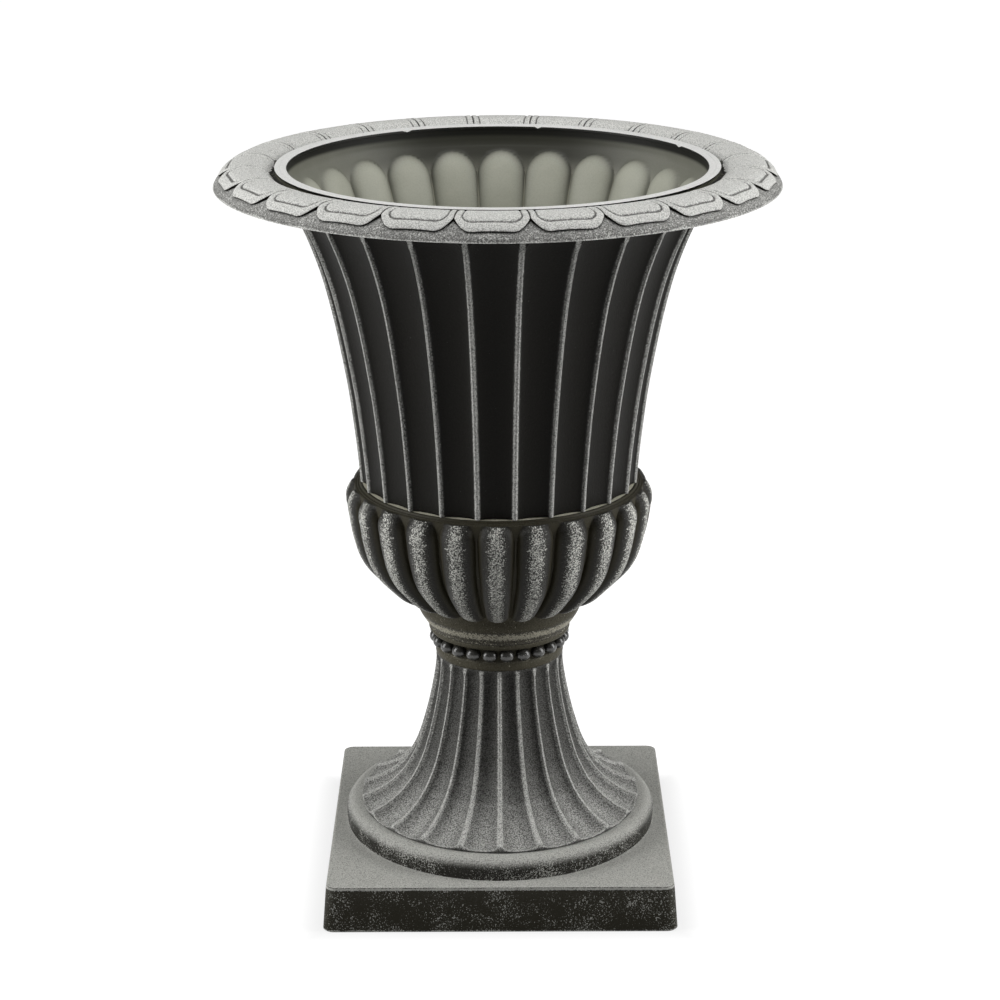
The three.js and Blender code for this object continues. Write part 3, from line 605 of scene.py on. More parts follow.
NICKS = (-54, -27, -11, 12, 63)  # degrees round the back of the lip where small mould tabs broke off
NICK_DEPTH, NICK_HALF = 1.3 * MM, 0.6  # how deep they are, and half their width in degrees
NICK_RADIUS, NICK_FLOOR = 150.7 * MM, 542.4 * MM


def bowl_depth(point):
    """Depth of the bowl's flutes, which grow deeper towards the rim."""
    rise = clamp((point.y - BOWL_LINE[0][1] * MM) / BOWL_FLUTED_HEIGHT)
    return mix(*BOWL_FLUTE_DEPTHS, rise) * MM


def bowl_line():
    """The ridges' line, with its steps closer where the flutes end."""
    line = through(millimetres(*BOWL_LINE), BOWL_STEPS)
    return line[:BOWL_FINE_FROM:3] + line[BOWL_FINE_FROM:]


def bowl_rows():
    line = bowl_line()
    normal = normals(line)
    drain = PLUG_BOX[0].x / MM + PLUG_RADIUS
    floor = [(mix(WELL[-1][0], DRAIN_RADIUS, t), mix(0, drain, t)) for t in (0.35, 0.7, 1)]
    rows = [plain(*p) for p in WELL_OUTSIDE]
    rows += [ribbed(p, p - bowl_depth(p) * n) for p, n in zip(line, normal)]
    for i, p in enumerate(LIP):
        skin = 0 if i < LIP_PAINT_FROM else 2 if i <= LIP_PAINT_TO else 1
        rows.append(plain(*p, skin=skin))
    inside = [ribbed(p - BOWL_WALL * n, p - (BOWL_WALL + bowl_depth(p)) * n, 1)
              for p, n in zip(line, normal)]
    rows += inside[:0:-1]
    rows += [plain(*p, skin=1) for p in WELL]
    rows += [plain(r, WELL[-1][1], 1, c) for r, c in floor]
    return rows + [plain(r, WELL_OUTSIDE[0][1], 1, c) for r, c in reversed(floor)]


def bowl_relief(row, index, place):
    count = sizes().ribs
    land = INSIDE_GROOVE if row.skin else sizes().ridge_width
    half = row.crest.x * math.pi / count
    past = row.crest.y - (ARCH_TOP - half)
    depth, _ = arched(row, place, count, land, past)
    # on the inside, raised carries the bulges' depth, from which bare_plastic paints shade between them and
    # highlights in the grooves
    if row.skin:
        return depth, depth
    brushed = on_ridge(row, place, count, land)
    return depth, brushed * clamp(1 - (past - RIDGE_PAINT_PAST) / RIDGE_PAINT_END)


def cut_nicks(bm):
    """Small broken tabs on the inner edge of the lip, round the back."""
    for v in bm.verts:
        if v.co.z < NICK_FLOOR or math.hypot(v.co.x, v.co.y) > NICK_RADIUS:
            continue
        angle = math.degrees(math.atan2(v.co.x, v.co.y))
        if min(abs(angle - nick) for nick in NICKS) < NICK_HALF:
            v.co.z -= NICK_DEPTH


class AddBowl(bpy.types.Operator):
    """Fluted planting bowl with its lip"""
    bl_idname = "mesh.urn_bowl"
    bl_label = "Fluted bowl"

    def execute(self, context):
        columns = rib_columns(sizes().ribs, RIB_PLACES, sizes().upper_turn)
        bm = turned(bowl_rows(), columns, bowl_relief)
        cut_nicks(bm)
        add_piece("urn_fluted_bowl", bm, [bowl_paint(), bare_plastic(), lip_paint()], "urn", "bowl_plastic",
                  "fluted_bowl")
        return {"FINISHED"}


# ------ rim ring

# Half of a petal in plan, as (across, out): the side runs out to the valley, then a corner curve leads
# to the straight end. The panel's groove follows an inner line of the same kind.
Line = namedtuple("Line", "inset valley corner end")
PETAL_EDGE = Line(0, 188.4, (22.2, 198.6), (13.8, 199.4))
PANEL_EDGE = Line(5.0, 184, (19.2, 191.8), (12.6, 192.3))
PETAL_SPINE = Line(None, 170, (0, 174), (0, 174))
PETAL_START = 160.0
GAP_WIDTH = 1.6  # unpainted foot of the petals, beside the lip
SIDE_STEPS, CORNER_STEPS, END_STEPS = 14, 9, 8
PETAL_TOP = ((160, 538.6), (162, 540.4), (165, 542.9), (168, 544.6), (171, 545.8), (174.5, 546.35),
             (178.5, 546.5), (182.5, 546.3), (186, 545.85), (189.5, 545.0), (192.5, 543.7), (195.5, 541.9),
             (198, 539.7), (200, 537.7))
SKIRT_TOP = ((184, 544.4), (187, 543.6), (190, 542.4), (193, 540.8), (196, 538.8), (199, 536.2),
             (201, 534.4), (202.3, 532.5), (203, 530.9))
# Rings of a petal from its edge inwards: (inset, height over the petal's top, paint round the outer end,
# paint along the sides). A rounded band, a groove, then the panel. Paint below zero is painted shade:
# a painted shadow under the petal's edge and painted shade in the groove.
PETAL_RINGS = ((0.3, -0.75, -0.9, -0.9), (0.35, -0.55, 0.2, -0.8), (0.75, -0.2, 1, 0.2), (1.4, -0.04, 1, 0.9),
               (2.4, 0, 1, 1), (3.3, -0.04, 1, 1), (3.9, -0.25, 0.6, 0.9), (4.4, -0.9, -0.5, -0.2),
               (5.0, -1.15, -0.7, -0.6), (5.3, -0.95, -0.3, -0.2), (5.6, -0.4, 0.6, 0.9), (6.3, -0.2, 1, 1),
               (7.4, -0.15, 1, 1))
PANEL_RINGS = 5  # rings from the panel's edge to the petal's spine
CROWN_STEPS = 4 * len(PETAL_TOP)
SIDE_GROOVE = 1.0  # depth of the groove between two petals
SIDE_BLEND = 3  # steps of the outline over which its side gives way to its end
FOOT_SHADE = -1  # painted shadow at a petal's foot and painted shade in the groove between two petals: the least paint of all
EDGE_UNDERCUT = 1.2  # how far a petal's edge overhangs its foot on the skirt
SKIRT_SHARES = 0.12, 0.25, 0.42, 0.6, 0.8, 0.92, 1  # steps from the petal's edge to the skirt's
SKIRT_PAINT, SKIRT_EDGE_PAINT = -0.25, 0.5
RIM_INSET = 0.02 * MM  # how far the skirt stays inside the CAD's
SKIRT_UNDERSIDE = ((202.4, 530.75), (201.2, 530.75), (200.6, 531.6), (199, 534.2), (196, 536.8), (192, 539.6),
                   (188, 541.7), (183, 543.0), (178, 543.3), (172, 542.5), (167, 540.4), (163, 537.9),
                   (160, 536.2), (157.5, 537.8), (153.9, 537.8), (153.9, 540.6), (157.5, 540.6))


def along(points, x):
    """Height of a polyline of (out, height) at x."""
    for (x0, z0), (x1, z1) in zip(points, points[1:]):
        if x <= x1:
            return mix(z0, z1, clamp((x - x0) / (x1 - x0)))
    return points[-1][1]


def half_petal(line, tangent):
    """Plan of half a petal's line, from the inner end to the middle of its outer end."""
    def side(out):
        return Vector((0 if line.inset is None else out * tangent - line.inset, out))

    valley, corner, end = side(line.valley), Vector(line.corner), Vector(line.end)
    points = [side(mix(PETAL_START, line.valley, i / SIDE_STEPS)) for i in range(SIDE_STEPS)]
    for i in range(CORNER_STEPS):
        t = i / CORNER_STEPS
        points.append(valley * (1 - t) ** 2 + corner * 2 * t * (1 - t) + end * t ** 2)
    return points + [Vector((end.x * (1 - i / (END_STEPS / 2)), end.y)) for i in range(END_STEPS // 2 + 1)]


def petal_plan(inset, spine_share, tangent):
    """The whole line of a petal at an inset; spine_share leads it on towards the petal's spine."""
    edge, panel, spine = (half_petal(x, tangent) for x in (PETAL_EDGE, PANEL_EDGE, PETAL_SPINE))
    t = inset / PANEL_EDGE.inset
    half = [mix(mix(a, b, t), c, spine_share) for a, b, c in zip(edge, panel, spine)]
    return half + [Vector((-p.x, p.y)) for p in reversed(half[:-1])]


def petal_bmesh(pitch):
    """One petal with its piece of skirt and underside, facing +Y, as one open skin."""
    bm = bmesh.new()
    raised = bm.verts.layers.float.new("raised")
    tangent = math.tan(pitch / 2)

    def lay(chain, plan, lift, paint, side_paint):
        for i, (v, p) in enumerate(zip(chain, plan)):
            v.co = Vector((-p.x, p.y, along(crown, out(p)) + lift)) * MM
            v[raised] = mix(paint, side_paint, beside(i))

    def beside(i):
        """1 along the side of the petal, 0 round its outer end."""
        return clamp(max(first - i, i - last) / SIDE_BLEND)

    def extend(chain):
        edges = [bm.edges.get(pair) for pair in zip(chain, chain[1:])]
        made = bmesh.ops.extrude_edge_only(bm, edges=edges)["geom"]
        fresh = {v for v in made if isinstance(v, bmesh.types.BMVert)}
        return [next(e.other_vert(v) for e in v.link_edges if e.other_vert(v) in fresh) for v in chain]

    def out(p):
        return p.length

    crown = through([Vector(p) for p in PETAL_TOP], CROWN_STEPS)
    plan = petal_plan(0, 0, tangent)
    tucked = petal_plan(EDGE_UNDERCUT, 0, tangent)
    count = len(plan)
    first, last = SIDE_STEPS, count - 1 - SIDE_STEPS
    plan = [mix(p, q, clamp(min(i - first, last - i) / SIDE_BLEND))
            for i, (p, q) in enumerate(zip(plan, tucked))]
    edge = [bm.verts.new() for _ in plan]
    for pair in zip(edge, edge[1:]):
        bm.edges.new(pair)

    for i, (v, p) in enumerate(zip(edge, plan)):
        height = mix(along(SKIRT_TOP, out(p)), along(crown, out(p)) - SIDE_GROOVE, beside(i))
        v.co = Vector((-p.x, p.y, height)) * MM
        v[raised] = FOOT_SHADE
    chain = edge
    for inset, lift, paint, side_paint in PETAL_RINGS:
        chain = extend(chain)
        lay(chain, petal_plan(inset, 0, tangent), lift, paint, side_paint)
    for k in range(1, PANEL_RINGS + 1):
        chain = extend(chain)
        lay(chain, petal_plan(inset, k / PANEL_RINGS, tangent), lift, 1, 1)
    skirt_edge = edge[first:last + 1]
    inner = plan[first:last + 1]
    rounds = len(inner) - 1
    rest = [(t, None) for t in SKIRT_SHARES] + [(None, p) for p in SKIRT_UNDERSIDE]
    chain = skirt_edge
    reach = SKIRT_TOP[-1][0]
    for t, under in rest:
        chain = extend(chain)
        for i, v in enumerate(chain):
            angle = pitch / 2 - pitch * i / rounds
            if under is None:
                p = mix(inner[i], Vector((math.sin(angle), math.cos(angle))) * reach, t)
                z = along(SKIRT_TOP, out(p))
            else:
                p = Vector((math.sin(angle), math.cos(angle))) * under[0]
                z = under[1]
            v.co = Vector((-p.x, p.y, z)) * MM
            v[raised] = SKIRT_EDGE_PAINT if under is None and t == 1 else SKIRT_PAINT
    for f in bm.faces:
        if f.calc_center_median().y < (PETAL_START + GAP_WIDTH) * MM:
            f.material_index = 1
    return bm


def rim_bmesh():
    count = sizes().ribs
    pitch = 2 * math.pi / count
    bm = petal_bmesh(pitch)
    bmesh.ops.spin(bm, geom=bm.verts[:] + bm.edges[:] + bm.faces[:], cent=(0, 0, 0), axis=(0, 0, 1),
                   dvec=(0, 0, 0), angle=2 * math.pi, steps=count, use_merge=False, use_duplicate=True)
    rotate(bm, math.pi + sizes().upper_turn)
    bmesh.ops.remove_doubles(bm, verts=bm.verts, dist=10 * WELD)
    open_edges = [e for e in bm.edges if len(e.link_faces) == 1]
    bmesh.ops.bridge_loops(bm, edges=open_edges)
    for f in bm.faces:
        middle = f.calc_center_median()
        if math.hypot(middle.x, middle.y) < PETAL_START * MM:
            f.material_index = 1
    shrink = (RIM_BOX[1].x - RIM_INSET) / (SKIRT_TOP[-1][0] * MM)
    if shrink < 1:
        bmesh.ops.scale(bm, vec=(shrink, shrink, 1), verts=bm.verts)
    return bm


class AddRim(bpy.types.Operator):
    """Rim ring of petals over a plain skirt"""
    bl_idname = "mesh.urn_rim"
    bl_label = "Petal rim"

    def execute(self, context):
        add_piece("urn_rim_ring", rim_bmesh(), [rim_paint(), recess_paint()], "urn", "pewter_light",
                  "rim_ring")
        return {"FINISHED"}


# ------ fasteners and plug

class FinishFasteners(bpy.types.Operator):
    """Finish on the bolt, washers, nut, screws, seal and drain plug"""
    bl_idname = "mesh.urn_fasteners"
    bl_label = "Fasteners and plug"

    def execute(self, context):
        steel, rubber = zinc_steel(), black_rubber()
        for name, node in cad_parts.items():
            if name in ("bolt_seal", "drain_plug"):
                node.data.materials.clear()
                node.data.materials.append(rubber)
            elif name.startswith(("plinth_screw", "head_washer", "nut_washer", "tie_bolt", "wing_nut")):
                node.data.materials.clear()
                node.data.materials.append(steel)
        return {"FINISHED"}


# ------ materials

class Nodes:
    """Short ways to add and link the nodes of one tree."""

    def __init__(self, tree):
        self.tree = tree

    def add(self, kind, **settings):
        node = self.tree.nodes.new(kind)
        for key, value in settings.items():
            setattr(node, key, value)
        return node

    def feed(self, target, value):
        if isinstance(value, bpy.types.NodeSocket):
            self.tree.links.new(value, target)
        elif value is not None:
            target.default_value = value

    def math(self, operation, a, b=None, c=None, clamp_it=False):
        node = self.add("ShaderNodeMath", operation=operation, use_clamp=clamp_it)
        for target, value in zip(node.inputs, (a, b, c)):
            self.feed(target, value)
        return node.outputs[0]

    def noise(self, vector, scale, detail=2.0, roughness=0.5):
        node = self.add("ShaderNodeTexNoise")
        self.feed(node.inputs["Vector"], vector)
        for key, value in (("Scale", scale), ("Detail", detail), ("Roughness", roughness)):
            self.feed(node.inputs[key], value)
        return node.outputs["Fac"]

    def math_vector(self, operation, a, b):
        node = self.add("ShaderNodeVectorMath", operation=operation)
        self.feed(node.inputs[0], a)
        self.feed(node.inputs[1], b)
        return node.outputs["Vector"]

    def step(self, value, low, high):
        node = self.add("ShaderNodeMapRange", interpolation_type="SMOOTHSTEP")
        for key, given in (("Value", value), ("From Min", low), ("From Max", high)):
            self.feed(node.inputs[key], given)
        return node.outputs["Result"]

    def mix(self, factor, a, b):
        node = self.add("ShaderNodeMix", data_type="RGBA")
        self.feed(node.inputs["Factor"], factor)
        self.feed(node.inputs[6], a)
        self.feed(node.inputs[7], b)
        return node.outputs[2]

    def group(self, tree, **values):
        node = self.add("ShaderNodeGroup", node_tree=tree)
        for key, value in values.items():
            self.feed(node.inputs[key.replace("_", " ")], value)
        return node.outputs

    def place(self):
        return self.add("ShaderNodeTexCoord").outputs["Object"]

    def attribute(self, name):
        return self.add("ShaderNodeAttribute", attribute_name=name, attribute_type="GEOMETRY").outputs["Fac"]

    def upward(self):
        normal = self.add("ShaderNodeNewGeometry").outputs["Normal"]
        split = self.add("ShaderNodeSeparateXYZ")
        self.feed(split.inputs[0], normal)
        return split.outputs["Z"]


def colour4(value):
    return (*value, 1.0)


def new_group(name, inputs, outputs):
    """A shader node group with its own inputs and outputs, and the means to fill it."""
    group = bpy.data.node_groups.new(name, "ShaderNodeTree")
    for title, kind, default in inputs:
        made = group.interface.new_socket(name=title, in_out="INPUT", socket_type=kind)
        made.default_value = default
    for title, kind in outputs:
        group.interface.new_socket(name=title, in_out="OUTPUT", socket_type=kind)
    nodes = Nodes(group)
    return group, nodes, nodes.add("NodeGroupInput").outputs, nodes.add("NodeGroupOutput").inputs


COLOUR, FLOAT = "NodeSocketColor", "NodeSocketFloat"


def dry_brush_group():
    """Paint over a dark ground: an even veil of it, what a dry brush leaves on the high grains, and
    bare pits where sand grains of the mould kept the brush off."""
    if "Dry Brush" in bpy.data.node_groups:
        return bpy.data.node_groups["Dry Brush"]
    group, n, given, result = new_group(
        "Dry Brush",
        [("Ground", COLOUR, (0, 0, 0, 1)), ("Paint", COLOUR, (1, 1, 1, 1)), ("Veil", FLOAT, 0.1),
         ("Cover", FLOAT, 0.5), ("Grain Scale", FLOAT, 800.0), ("Softness", FLOAT, 0.1),
         ("Clouds", FLOAT, 0.2), ("Sand", FLOAT, 0.3)],
        [("Color", COLOUR), ("Cover", FLOAT), ("Height", FLOAT)])
    spot = n.place()
    grain = n.noise(spot, given["Grain Scale"], 2.0, 0.6)
    sand = n.noise(n.math_vector("ADD", spot, (0.7, 0.3, 0.5)), SAND_SCALE, 1.0, 0.5)
    clouds = n.noise(spot, n.math("MULTIPLY", given["Grain Scale"], 0.05), 3.0, 0.6)
    spread = n.math("MULTIPLY_ADD", n.math("SUBTRACT", grain, 0.5), 2.6, 0.5)
    drift = n.math("MULTIPLY", n.math("SUBTRACT", clouds, 0.5), given["Clouds"])
    level = n.math("ADD", n.math("ADD", spread, drift), given["Cover"])
    low = n.math("SUBTRACT", 1.0, given["Softness"])
    high = n.math("ADD", 1.0, given["Softness"])
    cover = n.step(level, low, high)
    uneven = n.math("MULTIPLY_ADD", n.math("SUBTRACT", sand, 0.5), 1.6, 1.0)
    veil = n.math("MULTIPLY", given["Veil"], uneven, clamp_it=True)
    under = n.mix(veil, given["Ground"], given["Paint"])
    painted = n.mix(cover, under, given["Paint"])
    pits = n.math("MULTIPLY", n.step(sand, 0.6, 0.35), given["Sand"])
    n.feed(result["Color"], n.mix(pits, painted, given["Ground"]))
    n.feed(result["Cover"], cover)
    n.feed(result["Height"], n.math("ADD", grain, n.math("MULTIPLY", sand, 0.6)))
    return group


def grain_group():
    """Fine sand grain of the mould, with slow changes of tone."""
    if "Mould Grain" in bpy.data.node_groups:
        return bpy.data.node_groups["Mould Grain"]
    group, n, given, result = new_group(
        "Mould Grain",
        [("Colour", COLOUR, (0.5, 0.5, 0.5, 1)), ("Dark", COLOUR, (0, 0, 0, 1)), ("Scale", FLOAT, 900.0),
         ("Grain", FLOAT, 0.3), ("Clouds", FLOAT, 0.2)],
        [("Color", COLOUR), ("Height", FLOAT)])
    spot = n.place()
    grain = n.noise(spot, given["Scale"], 3.0, 0.65)
    clouds = n.noise(spot, n.math("MULTIPLY", given["Scale"], 0.02), 3.0, 0.6)
    fine = n.math("MULTIPLY", n.step(grain, 0.62, 0.3), given["Grain"])
    slow = n.math("MULTIPLY", n.step(clouds, 0.7, 0.3), given["Clouds"])
    n.feed(result["Color"], n.mix(n.math("ADD", fine, slow, clamp_it=True), given["Colour"], given["Dark"]))
    n.feed(result["Height"], grain)
    return group


def new_material(name):
    material = bpy.data.materials.new(name)
    material.use_nodes = True
    tree = material.node_tree
    tree.nodes.clear()
    nodes = Nodes(tree)
    shader = nodes.add("ShaderNodeBsdfPrincipled")
    output = nodes.add("ShaderNodeOutputMaterial")
    tree.links.new(shader.outputs[0], output.inputs["Surface"])
    return material, nodes, shader


def finish_surface(nodes, shader, tint, roughness, height, bump, metallic=None, specular=0.5):
    """Feeds a shader with a colour, a roughness and a bump from a height."""
    nodes.feed(shader.inputs["Base Color"], tint)
    nodes.feed(shader.inputs["Roughness"], roughness)
    nodes.feed(shader.inputs["Metallic"], metallic)
    shader.inputs["Specular IOR Level"].default_value = specular
    node = nodes.add("ShaderNodeBump")
    node.inputs["Strength"].default_value = bump
    node.inputs["Distance"].default_value = 0.4 * MM
    nodes.feed(node.inputs["Height"], height)
    nodes.feed(shader.inputs["Normal"], node.outputs[0])


SHADE_HEIGHTS = 0.487, 0.524  # heights between which painted shade turns the bowl's inside dark, below the lip
LIP_SHADOW_HEIGHTS = 0.5345, 0.538  # and where painted shadow makes it black below the lip
SHADE_THINS_ASIDE = 0.05, 0.14  # and how far aside of the middle the painted shade gets thinner
# colours of the painted shade in the mouth and between the bulges, and of the painted shadow below the lip
SHADE_DARK, LIP_SHADOW_BLACK = (0.03, 0.03, 0.022, 1), (0.008, 0.008, 0.006, 1)
GROOVE_HIGHLIGHT = (0.6, 0.59, 0.48, 1)  # painted highlight in the groove between two bulges
SAND_SCALE = 1150.0  # grains of the mould's sanded surface, per metre
Brush = namedtuple("Brush", "everywhere upward raised")


def pewter(name, veil, cover, ground=None, stain=None, paint=None, crowns=(0, 1), softness=0.16, clouds=0.5,
           grain=700.0, sand=0.3, bump=0.6, rough=0.5, specular=0.08):
    """Dark plastic under paint. veil and cover say how much paint there is everywhere, and how much
    more on upward faces and on raised parts, which lie within crowns of the mesh's own measure."""
    if name in bpy.data.materials:
        return bpy.data.materials[name]
    material, n, shader = new_material(name)
    lift = n.step(n.upward(), 0.1, 0.95)
    # the raised measure also carries painted light and shade: below zero on the rim, on the pedestal's flute
    # floors and scalloped edge, and on the gadroons' parting line
    crown = n.step(n.attribute("raised"), *crowns)

    def amount(brush):
        upward = n.math("MULTIPLY_ADD", lift, brush.upward, brush.everywhere)
        return n.math("MULTIPLY_ADD", crown, brush.raised, upward)

    base = colour4(ground or finish().ground)
    if stain:
        hollow = n.step(n.attribute("raised"), 0.35, 0.0)
        base = n.mix(hollow, base, colour4(stain))
    out = n.group(dry_brush_group(), Ground=base, Paint=colour4(paint or finish().silver),
                  Veil=amount(veil), Cover=amount(cover), Grain_Scale=grain, Softness=softness, Clouds=clouds,
                  Sand=sand)
    roughness = n.math("MULTIPLY_ADD", out["Cover"], 0.1, rough)
    finish_surface(n, shader, out["Color"], roughness, out["Height"], bump, specular=specular)
    return material


def plinth_paint():
    return pewter("plinth_pewter", Brush(0.012, 0.95, 0.2), Brush(0.09, 0.1, 0.9), clouds=1.2,
                  grain=1000.0, stain=(0.02, 0.018, 0.011))


def pedestal_paint():
    return pewter("pedestal_pewter", Brush(0.12, 0.4, 0.4), Brush(-0.25, 0.1, 0.95), softness=0.25,
                  paint=finish().pale, grain=900.0, sand=0.6)


def collar_paint():
    return pewter("collar_pewter", Brush(0.09, 0.16, 0.1), Brush(-0.1, 0.2, 0.3), stain=finish().stain,
                  paint=finish().olive)


def bead_paint():
    return pewter("bead_pewter", Brush(0.01, 0.02, 0.05), Brush(-0.3, 0, 0.3), bump=0.1, rough=0.25,
                  specular=0.7)


def cup_paint():
    return pewter("cup_pewter", Brush(0.005, 0.02, 0.1), Brush(-0.3, 0.05, 0.86), stain=finish().stain,
                  paint=(0.88, 0.88, 0.82), crowns=(0.2, 0.85), softness=0.15, grain=880.0, sand=0.75,
                  specular=0.16)


def neck_paint():
    return pewter("neck_pewter", Brush(0.09, 0.12, 0.12), Brush(-0.05, 0.1, 0.75), stain=finish().stain,
                  paint=finish().olive, grain=900.0)


def ledge_paint():
    return pewter("ledge_pewter", Brush(0.95, 0, 0), Brush(0.7, 0.2, 0), paint=(0.85, 0.82, 0.66), sand=0.15)


def recess_paint():
    return pewter("recess_pewter", Brush(0.03, 0.05, 0), Brush(-0.3, 0, 0), stain=(0.13, 0.125, 0.085))


def bowl_paint():
    return pewter("bowl_pewter", Brush(0.004, 0, 0.4), Brush(-0.35, 0, 1.2), clouds=0.3, sand=0.6,
                  ground=[0.75 * c for c in finish().ground], paint=finish().pale, softness=0.25, grain=900.0,
                  rough=0.42, specular=0.07)


def lip_paint():
    return pewter("lip_pewter", Brush(0.8, 0.2, 0), Brush(0.6, 0.4, 0), paint=(0.76, 0.76, 0.74), sand=0.12,
                  bump=0.15)


# crowns from -1: raised below 0 takes less paint than the plain skirt, for the painted shade of the petals'
# feet and grooves
def rim_paint():
    return pewter("rim_pewter", Brush(-0.03, 0.2, 0.8), Brush(-0.1, 0.1, 0.85), paint=(0.72, 0.72, 0.69),
                  crowns=(-1, 1), sand=0.42, grain=900.0, bump=0.9)


def bare_plastic():
    """Bare inside of the bowl: clean on the bulges, with painted shade above and between them, a painted
    shadow below the lip and painted highlights in the grooves.
    """
    if "bare_plastic" in bpy.data.materials:
        return bpy.data.materials["bare_plastic"]
    material, n, shader = new_material("bare_plastic")
    out = n.group(grain_group(), Colour=colour4(finish().plastic), Dark=(0.2, 0.2, 0.15, 1), Scale=1000.0,
                  Grain=0.15, Clouds=0.2)
    spot = n.add("ShaderNodeSeparateXYZ")
    n.feed(spot.inputs[0], n.place())
    # painted shade: dark in the mouth below the lip, thinner towards the sides, and half as dark between the
    # bulges lower down
    mouth = n.step(spot.outputs["Z"], *SHADE_HEIGHTS)
    aside = n.step(n.math("ABSOLUTE", spot.outputs["X"]), *SHADE_THINS_ASIDE)
    hollow = n.step(n.attribute("raised"), 0.97, 0.0)
    shade_strength = n.math("MULTIPLY_ADD", aside, -0.4, 0.97)
    low = n.math("MULTIPLY", n.math("SUBTRACT", 1.0, mouth), 0.5)
    painted_shade = n.math("MULTIPLY", hollow, n.math("MULTIPLY_ADD", mouth, shade_strength, low))
    # painted highlight along the grooves, below the mouth
    groove_light = n.math("MULTIPLY", n.step(n.attribute("raised"), 0.12, 0.0), n.math("SUBTRACT", 1.0, mouth))
    shaded = n.mix(painted_shade, out["Color"], SHADE_DARK)
    highlighted = n.mix(n.math("MULTIPLY", groove_light, 0.8), shaded, GROOVE_HIGHLIGHT)
    # painted shadow: black just below the lip
    tint = n.mix(n.step(spot.outputs["Z"], *LIP_SHADOW_HEIGHTS), highlighted, LIP_SHADOW_BLACK)
    finish_surface(n, shader, tint, 0.5, out["Height"], 0.12, specular=0.3)
    return material


def zinc_steel():
    material, n, shader = new_material("zinc_plate")
    out = n.group(grain_group(), Colour=colour4(finish().zinc), Dark=(0.3, 0.31, 0.33, 1), Scale=1400.0,
                  Grain=0.35, Clouds=0.5)
    finish_surface(n, shader, out["Color"], 0.34, out["Height"], 0.08, metallic=0.9)
    return material


def black_rubber():
    material, n, shader = new_material("black_rubber")
    out = n.group(grain_group(), Colour=colour4(finish().rubber), Dark=(0.004, 0.004, 0.004, 1), Scale=1200.0,
                  Grain=0.5, Clouds=0.4)
    finish_surface(n, shader, out["Color"], 0.72, out["Height"], 0.15)
    return material


# ------ stage

FLOOR_RADIUS = 14.0
FLOOR_SHADE_GLOW = 0.73  # of the floor round the plinth, lower there as painted shade so that the urn's rendered shadow shows; it is white beyond
FLOOR_SHADE_EDGE = 0.128, 0.168  # from the middle to where that painted shade starts and ends to lift
LAMP_TARGET = Vector((0, 0, 0.3))


def add_lamp(name, place, width, height, power):
    light = bpy.data.lights.new(name, "AREA")
    light.shape = "RECTANGLE"
    light.size, light.size_y, light.energy = width, height, power
    lamp = new_object(name, light)
    lamp.location = place
    lamp.rotation_euler = (LAMP_TARGET - Vector(place)).to_track_quat("-Z", "Y").to_euler()


def floor_material():
    """Pale floor: the camera sees it white, and it keeps the urn's shadow, with painted shade in a square
    round the plinth where it glows less.
    """
    material, n, shader = new_material("pale_floor")
    shader.inputs["Base Color"].default_value = (0.24, 0.24, 0.24, 1)
    shader.inputs["Roughness"].default_value = 0.9
    shader.inputs["Specular IOR Level"].default_value = 0.1
    rays = n.add("ShaderNodeLightPath").outputs
    seen = n.math("ADD", n.math("ADD", rays["Is Camera Ray"], rays["Is Glossy Ray"]),
                  rays["Is Transmission Ray"], clamp_it=True)
    spot = n.add("ShaderNodeSeparateXYZ")
    n.feed(spot.inputs[0], n.place())
    aside = [n.math("ABSOLUTE", spot.outputs[key]) for key in "XY"]
    out_of_shade = n.step(n.math("MAXIMUM", *aside), *FLOOR_SHADE_EDGE)
    glow = n.math("MULTIPLY_ADD", out_of_shade, 1 - FLOOR_SHADE_GLOW, FLOOR_SHADE_GLOW)
    shader.inputs["Emission Color"].default_value = (1, 1, 1, 1)
    n.feed(shader.inputs["Emission Strength"], n.math("MULTIPLY", seen, glow))
    return material


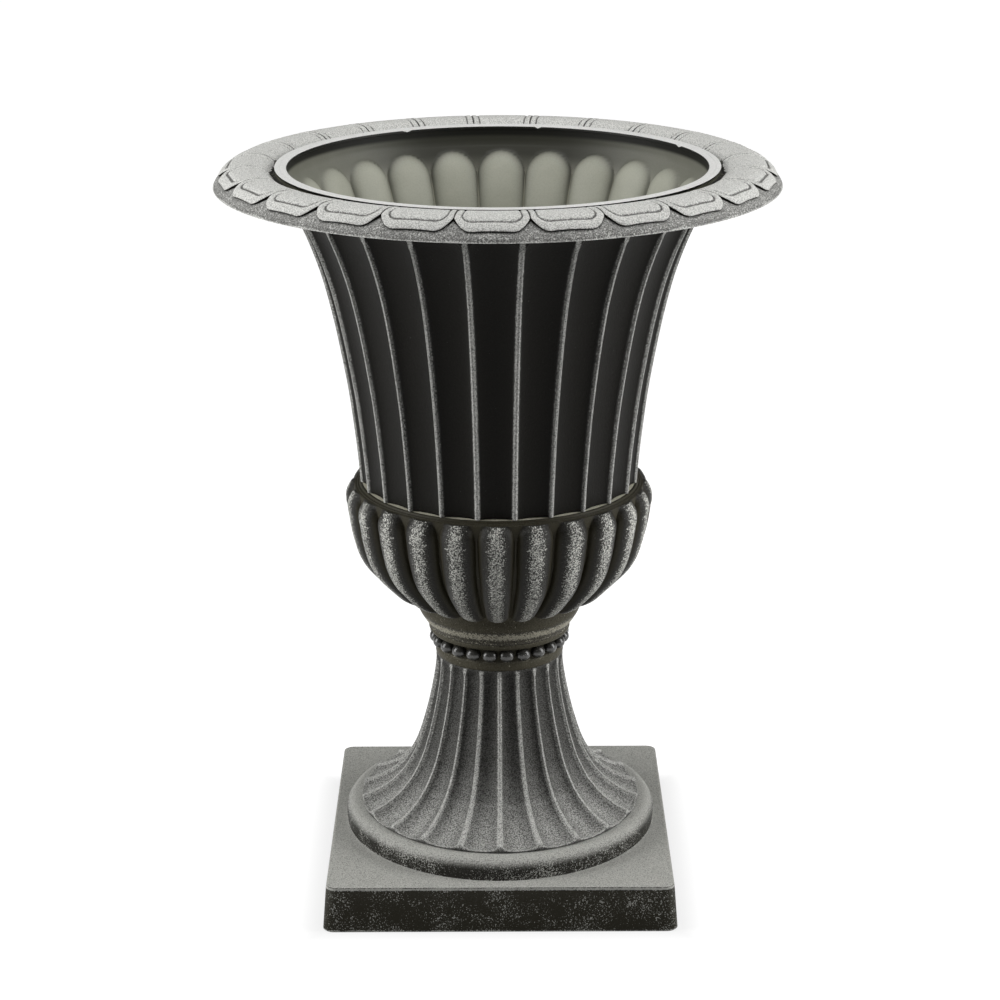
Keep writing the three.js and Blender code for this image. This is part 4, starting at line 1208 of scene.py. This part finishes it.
class AddStage(bpy.types.Operator):
    """Camera, pale floor, soft lamps and a pale world"""
    bl_idname = "scene.urn_stage"
    bl_label = "Stage"

    def execute(self, context):
        stage = context.scene.urn_stage
        bm = bmesh.new()
        bmesh.ops.create_circle(bm, cap_ends=True, segments=96, radius=FLOOR_RADIUS)
        floor = new_object("floor", new_mesh("floor", bm, floor_material()))

        for name, side in (("left_lamp", -1), ("right_lamp", 1)):
            add_lamp(name, (side * 1.5, -0.25, 0.75), 0.7, 1.5, stage.side_power)
        add_lamp("top_lamp", (0, -0.3, 2.1), 1.6, 1.2, stage.top_power)

        world = bpy.data.worlds.new("pale_room")
        world.use_nodes = True
        context.scene.world = world
        n = Nodes(world.node_tree)
        rays = n.add("ShaderNodeLightPath").outputs
        background = next(x for x in world.node_tree.nodes if x.type == "BACKGROUND")
        background.inputs["Color"].default_value = (1, 1, 1, 1)
        seen = n.math("ADD", rays["Is Camera Ray"], rays["Is Transmission Ray"], clamp_it=True)
        strength = n.math("ADD", stage.world_light, n.math("MULTIPLY", seen, 1 - stage.world_light))
        n.feed(background.inputs["Strength"], strength)

        view = bpy.data.cameras.new("camera")
        view.lens, view.sensor_width = stage.lens, 36
        view.clip_start, view.clip_end = 0.01, 100
        camera = new_object("camera", view)
        camera.location = (stage.eye_aside, -stage.eye_distance, stage.eye_height)
        tilt = Matrix.Rotation(math.pi / 2 - stage.eye_pitch, 3, "X")
        camera.rotation_euler = (tilt @ Matrix.Rotation(stage.eye_roll, 3, "Z")).to_euler()
        context.scene.camera = camera
        context.scene.view_settings.view_transform = "Standard"
        return {"FINISHED"}


# ------ panel and registration

PIECES = (AddPlinth, AddPedestal, AddCollar, AddCup, AddBowl, AddRim, FinishFasteners)


class UrnPanel(bpy.types.Panel):
    """Sizes, colours and pieces of the urn"""
    bl_idname = "VIEW3D_PT_urn"
    bl_label = "Garden Urn"
    bl_space_type = "VIEW_3D"
    bl_region_type = "UI"
    bl_category = "Urn"

    def draw(self, context):
        for group in ("urn_sizes", "urn_finish", "urn_stage"):
            settings = getattr(context.scene, group)
            box = self.layout.box()
            for key in settings.bl_rna.properties.keys():
                if key not in ("rna_type", "name"):
                    box.prop(settings, key)
        column = self.layout.column()
        for operator in (*PIECES, AddStage):
            column.operator(operator.bl_idname)


CLASSES = (UrnSizes, UrnFinish, UrnStage, *PIECES, AddStage, UrnPanel)


def register():
    for cls in CLASSES:
        bpy.utils.register_class(cls)
    bpy.types.Scene.urn_sizes = bpy.props.PointerProperty(type=UrnSizes)
    bpy.types.Scene.urn_finish = bpy.props.PointerProperty(type=UrnFinish)
    bpy.types.Scene.urn_stage = bpy.props.PointerProperty(type=UrnStage)


def unregister():
    del bpy.types.Scene.urn_stage
    del bpy.types.Scene.urn_finish
    del bpy.types.Scene.urn_sizes
    for cls in reversed(CLASSES):
        bpy.utils.unregister_class(cls)


def main():
    register()
    bpy.ops.scene.urn_stage()
    bpy.ops.mesh.urn_plinth()
    bpy.ops.mesh.urn_pedestal()
    bpy.ops.mesh.urn_collar()
    bpy.ops.mesh.urn_cup()
    bpy.ops.mesh.urn_bowl()
    bpy.ops.mesh.urn_rim()
    bpy.ops.mesh.urn_fasteners()


if __name__ == "__main__":
    main()
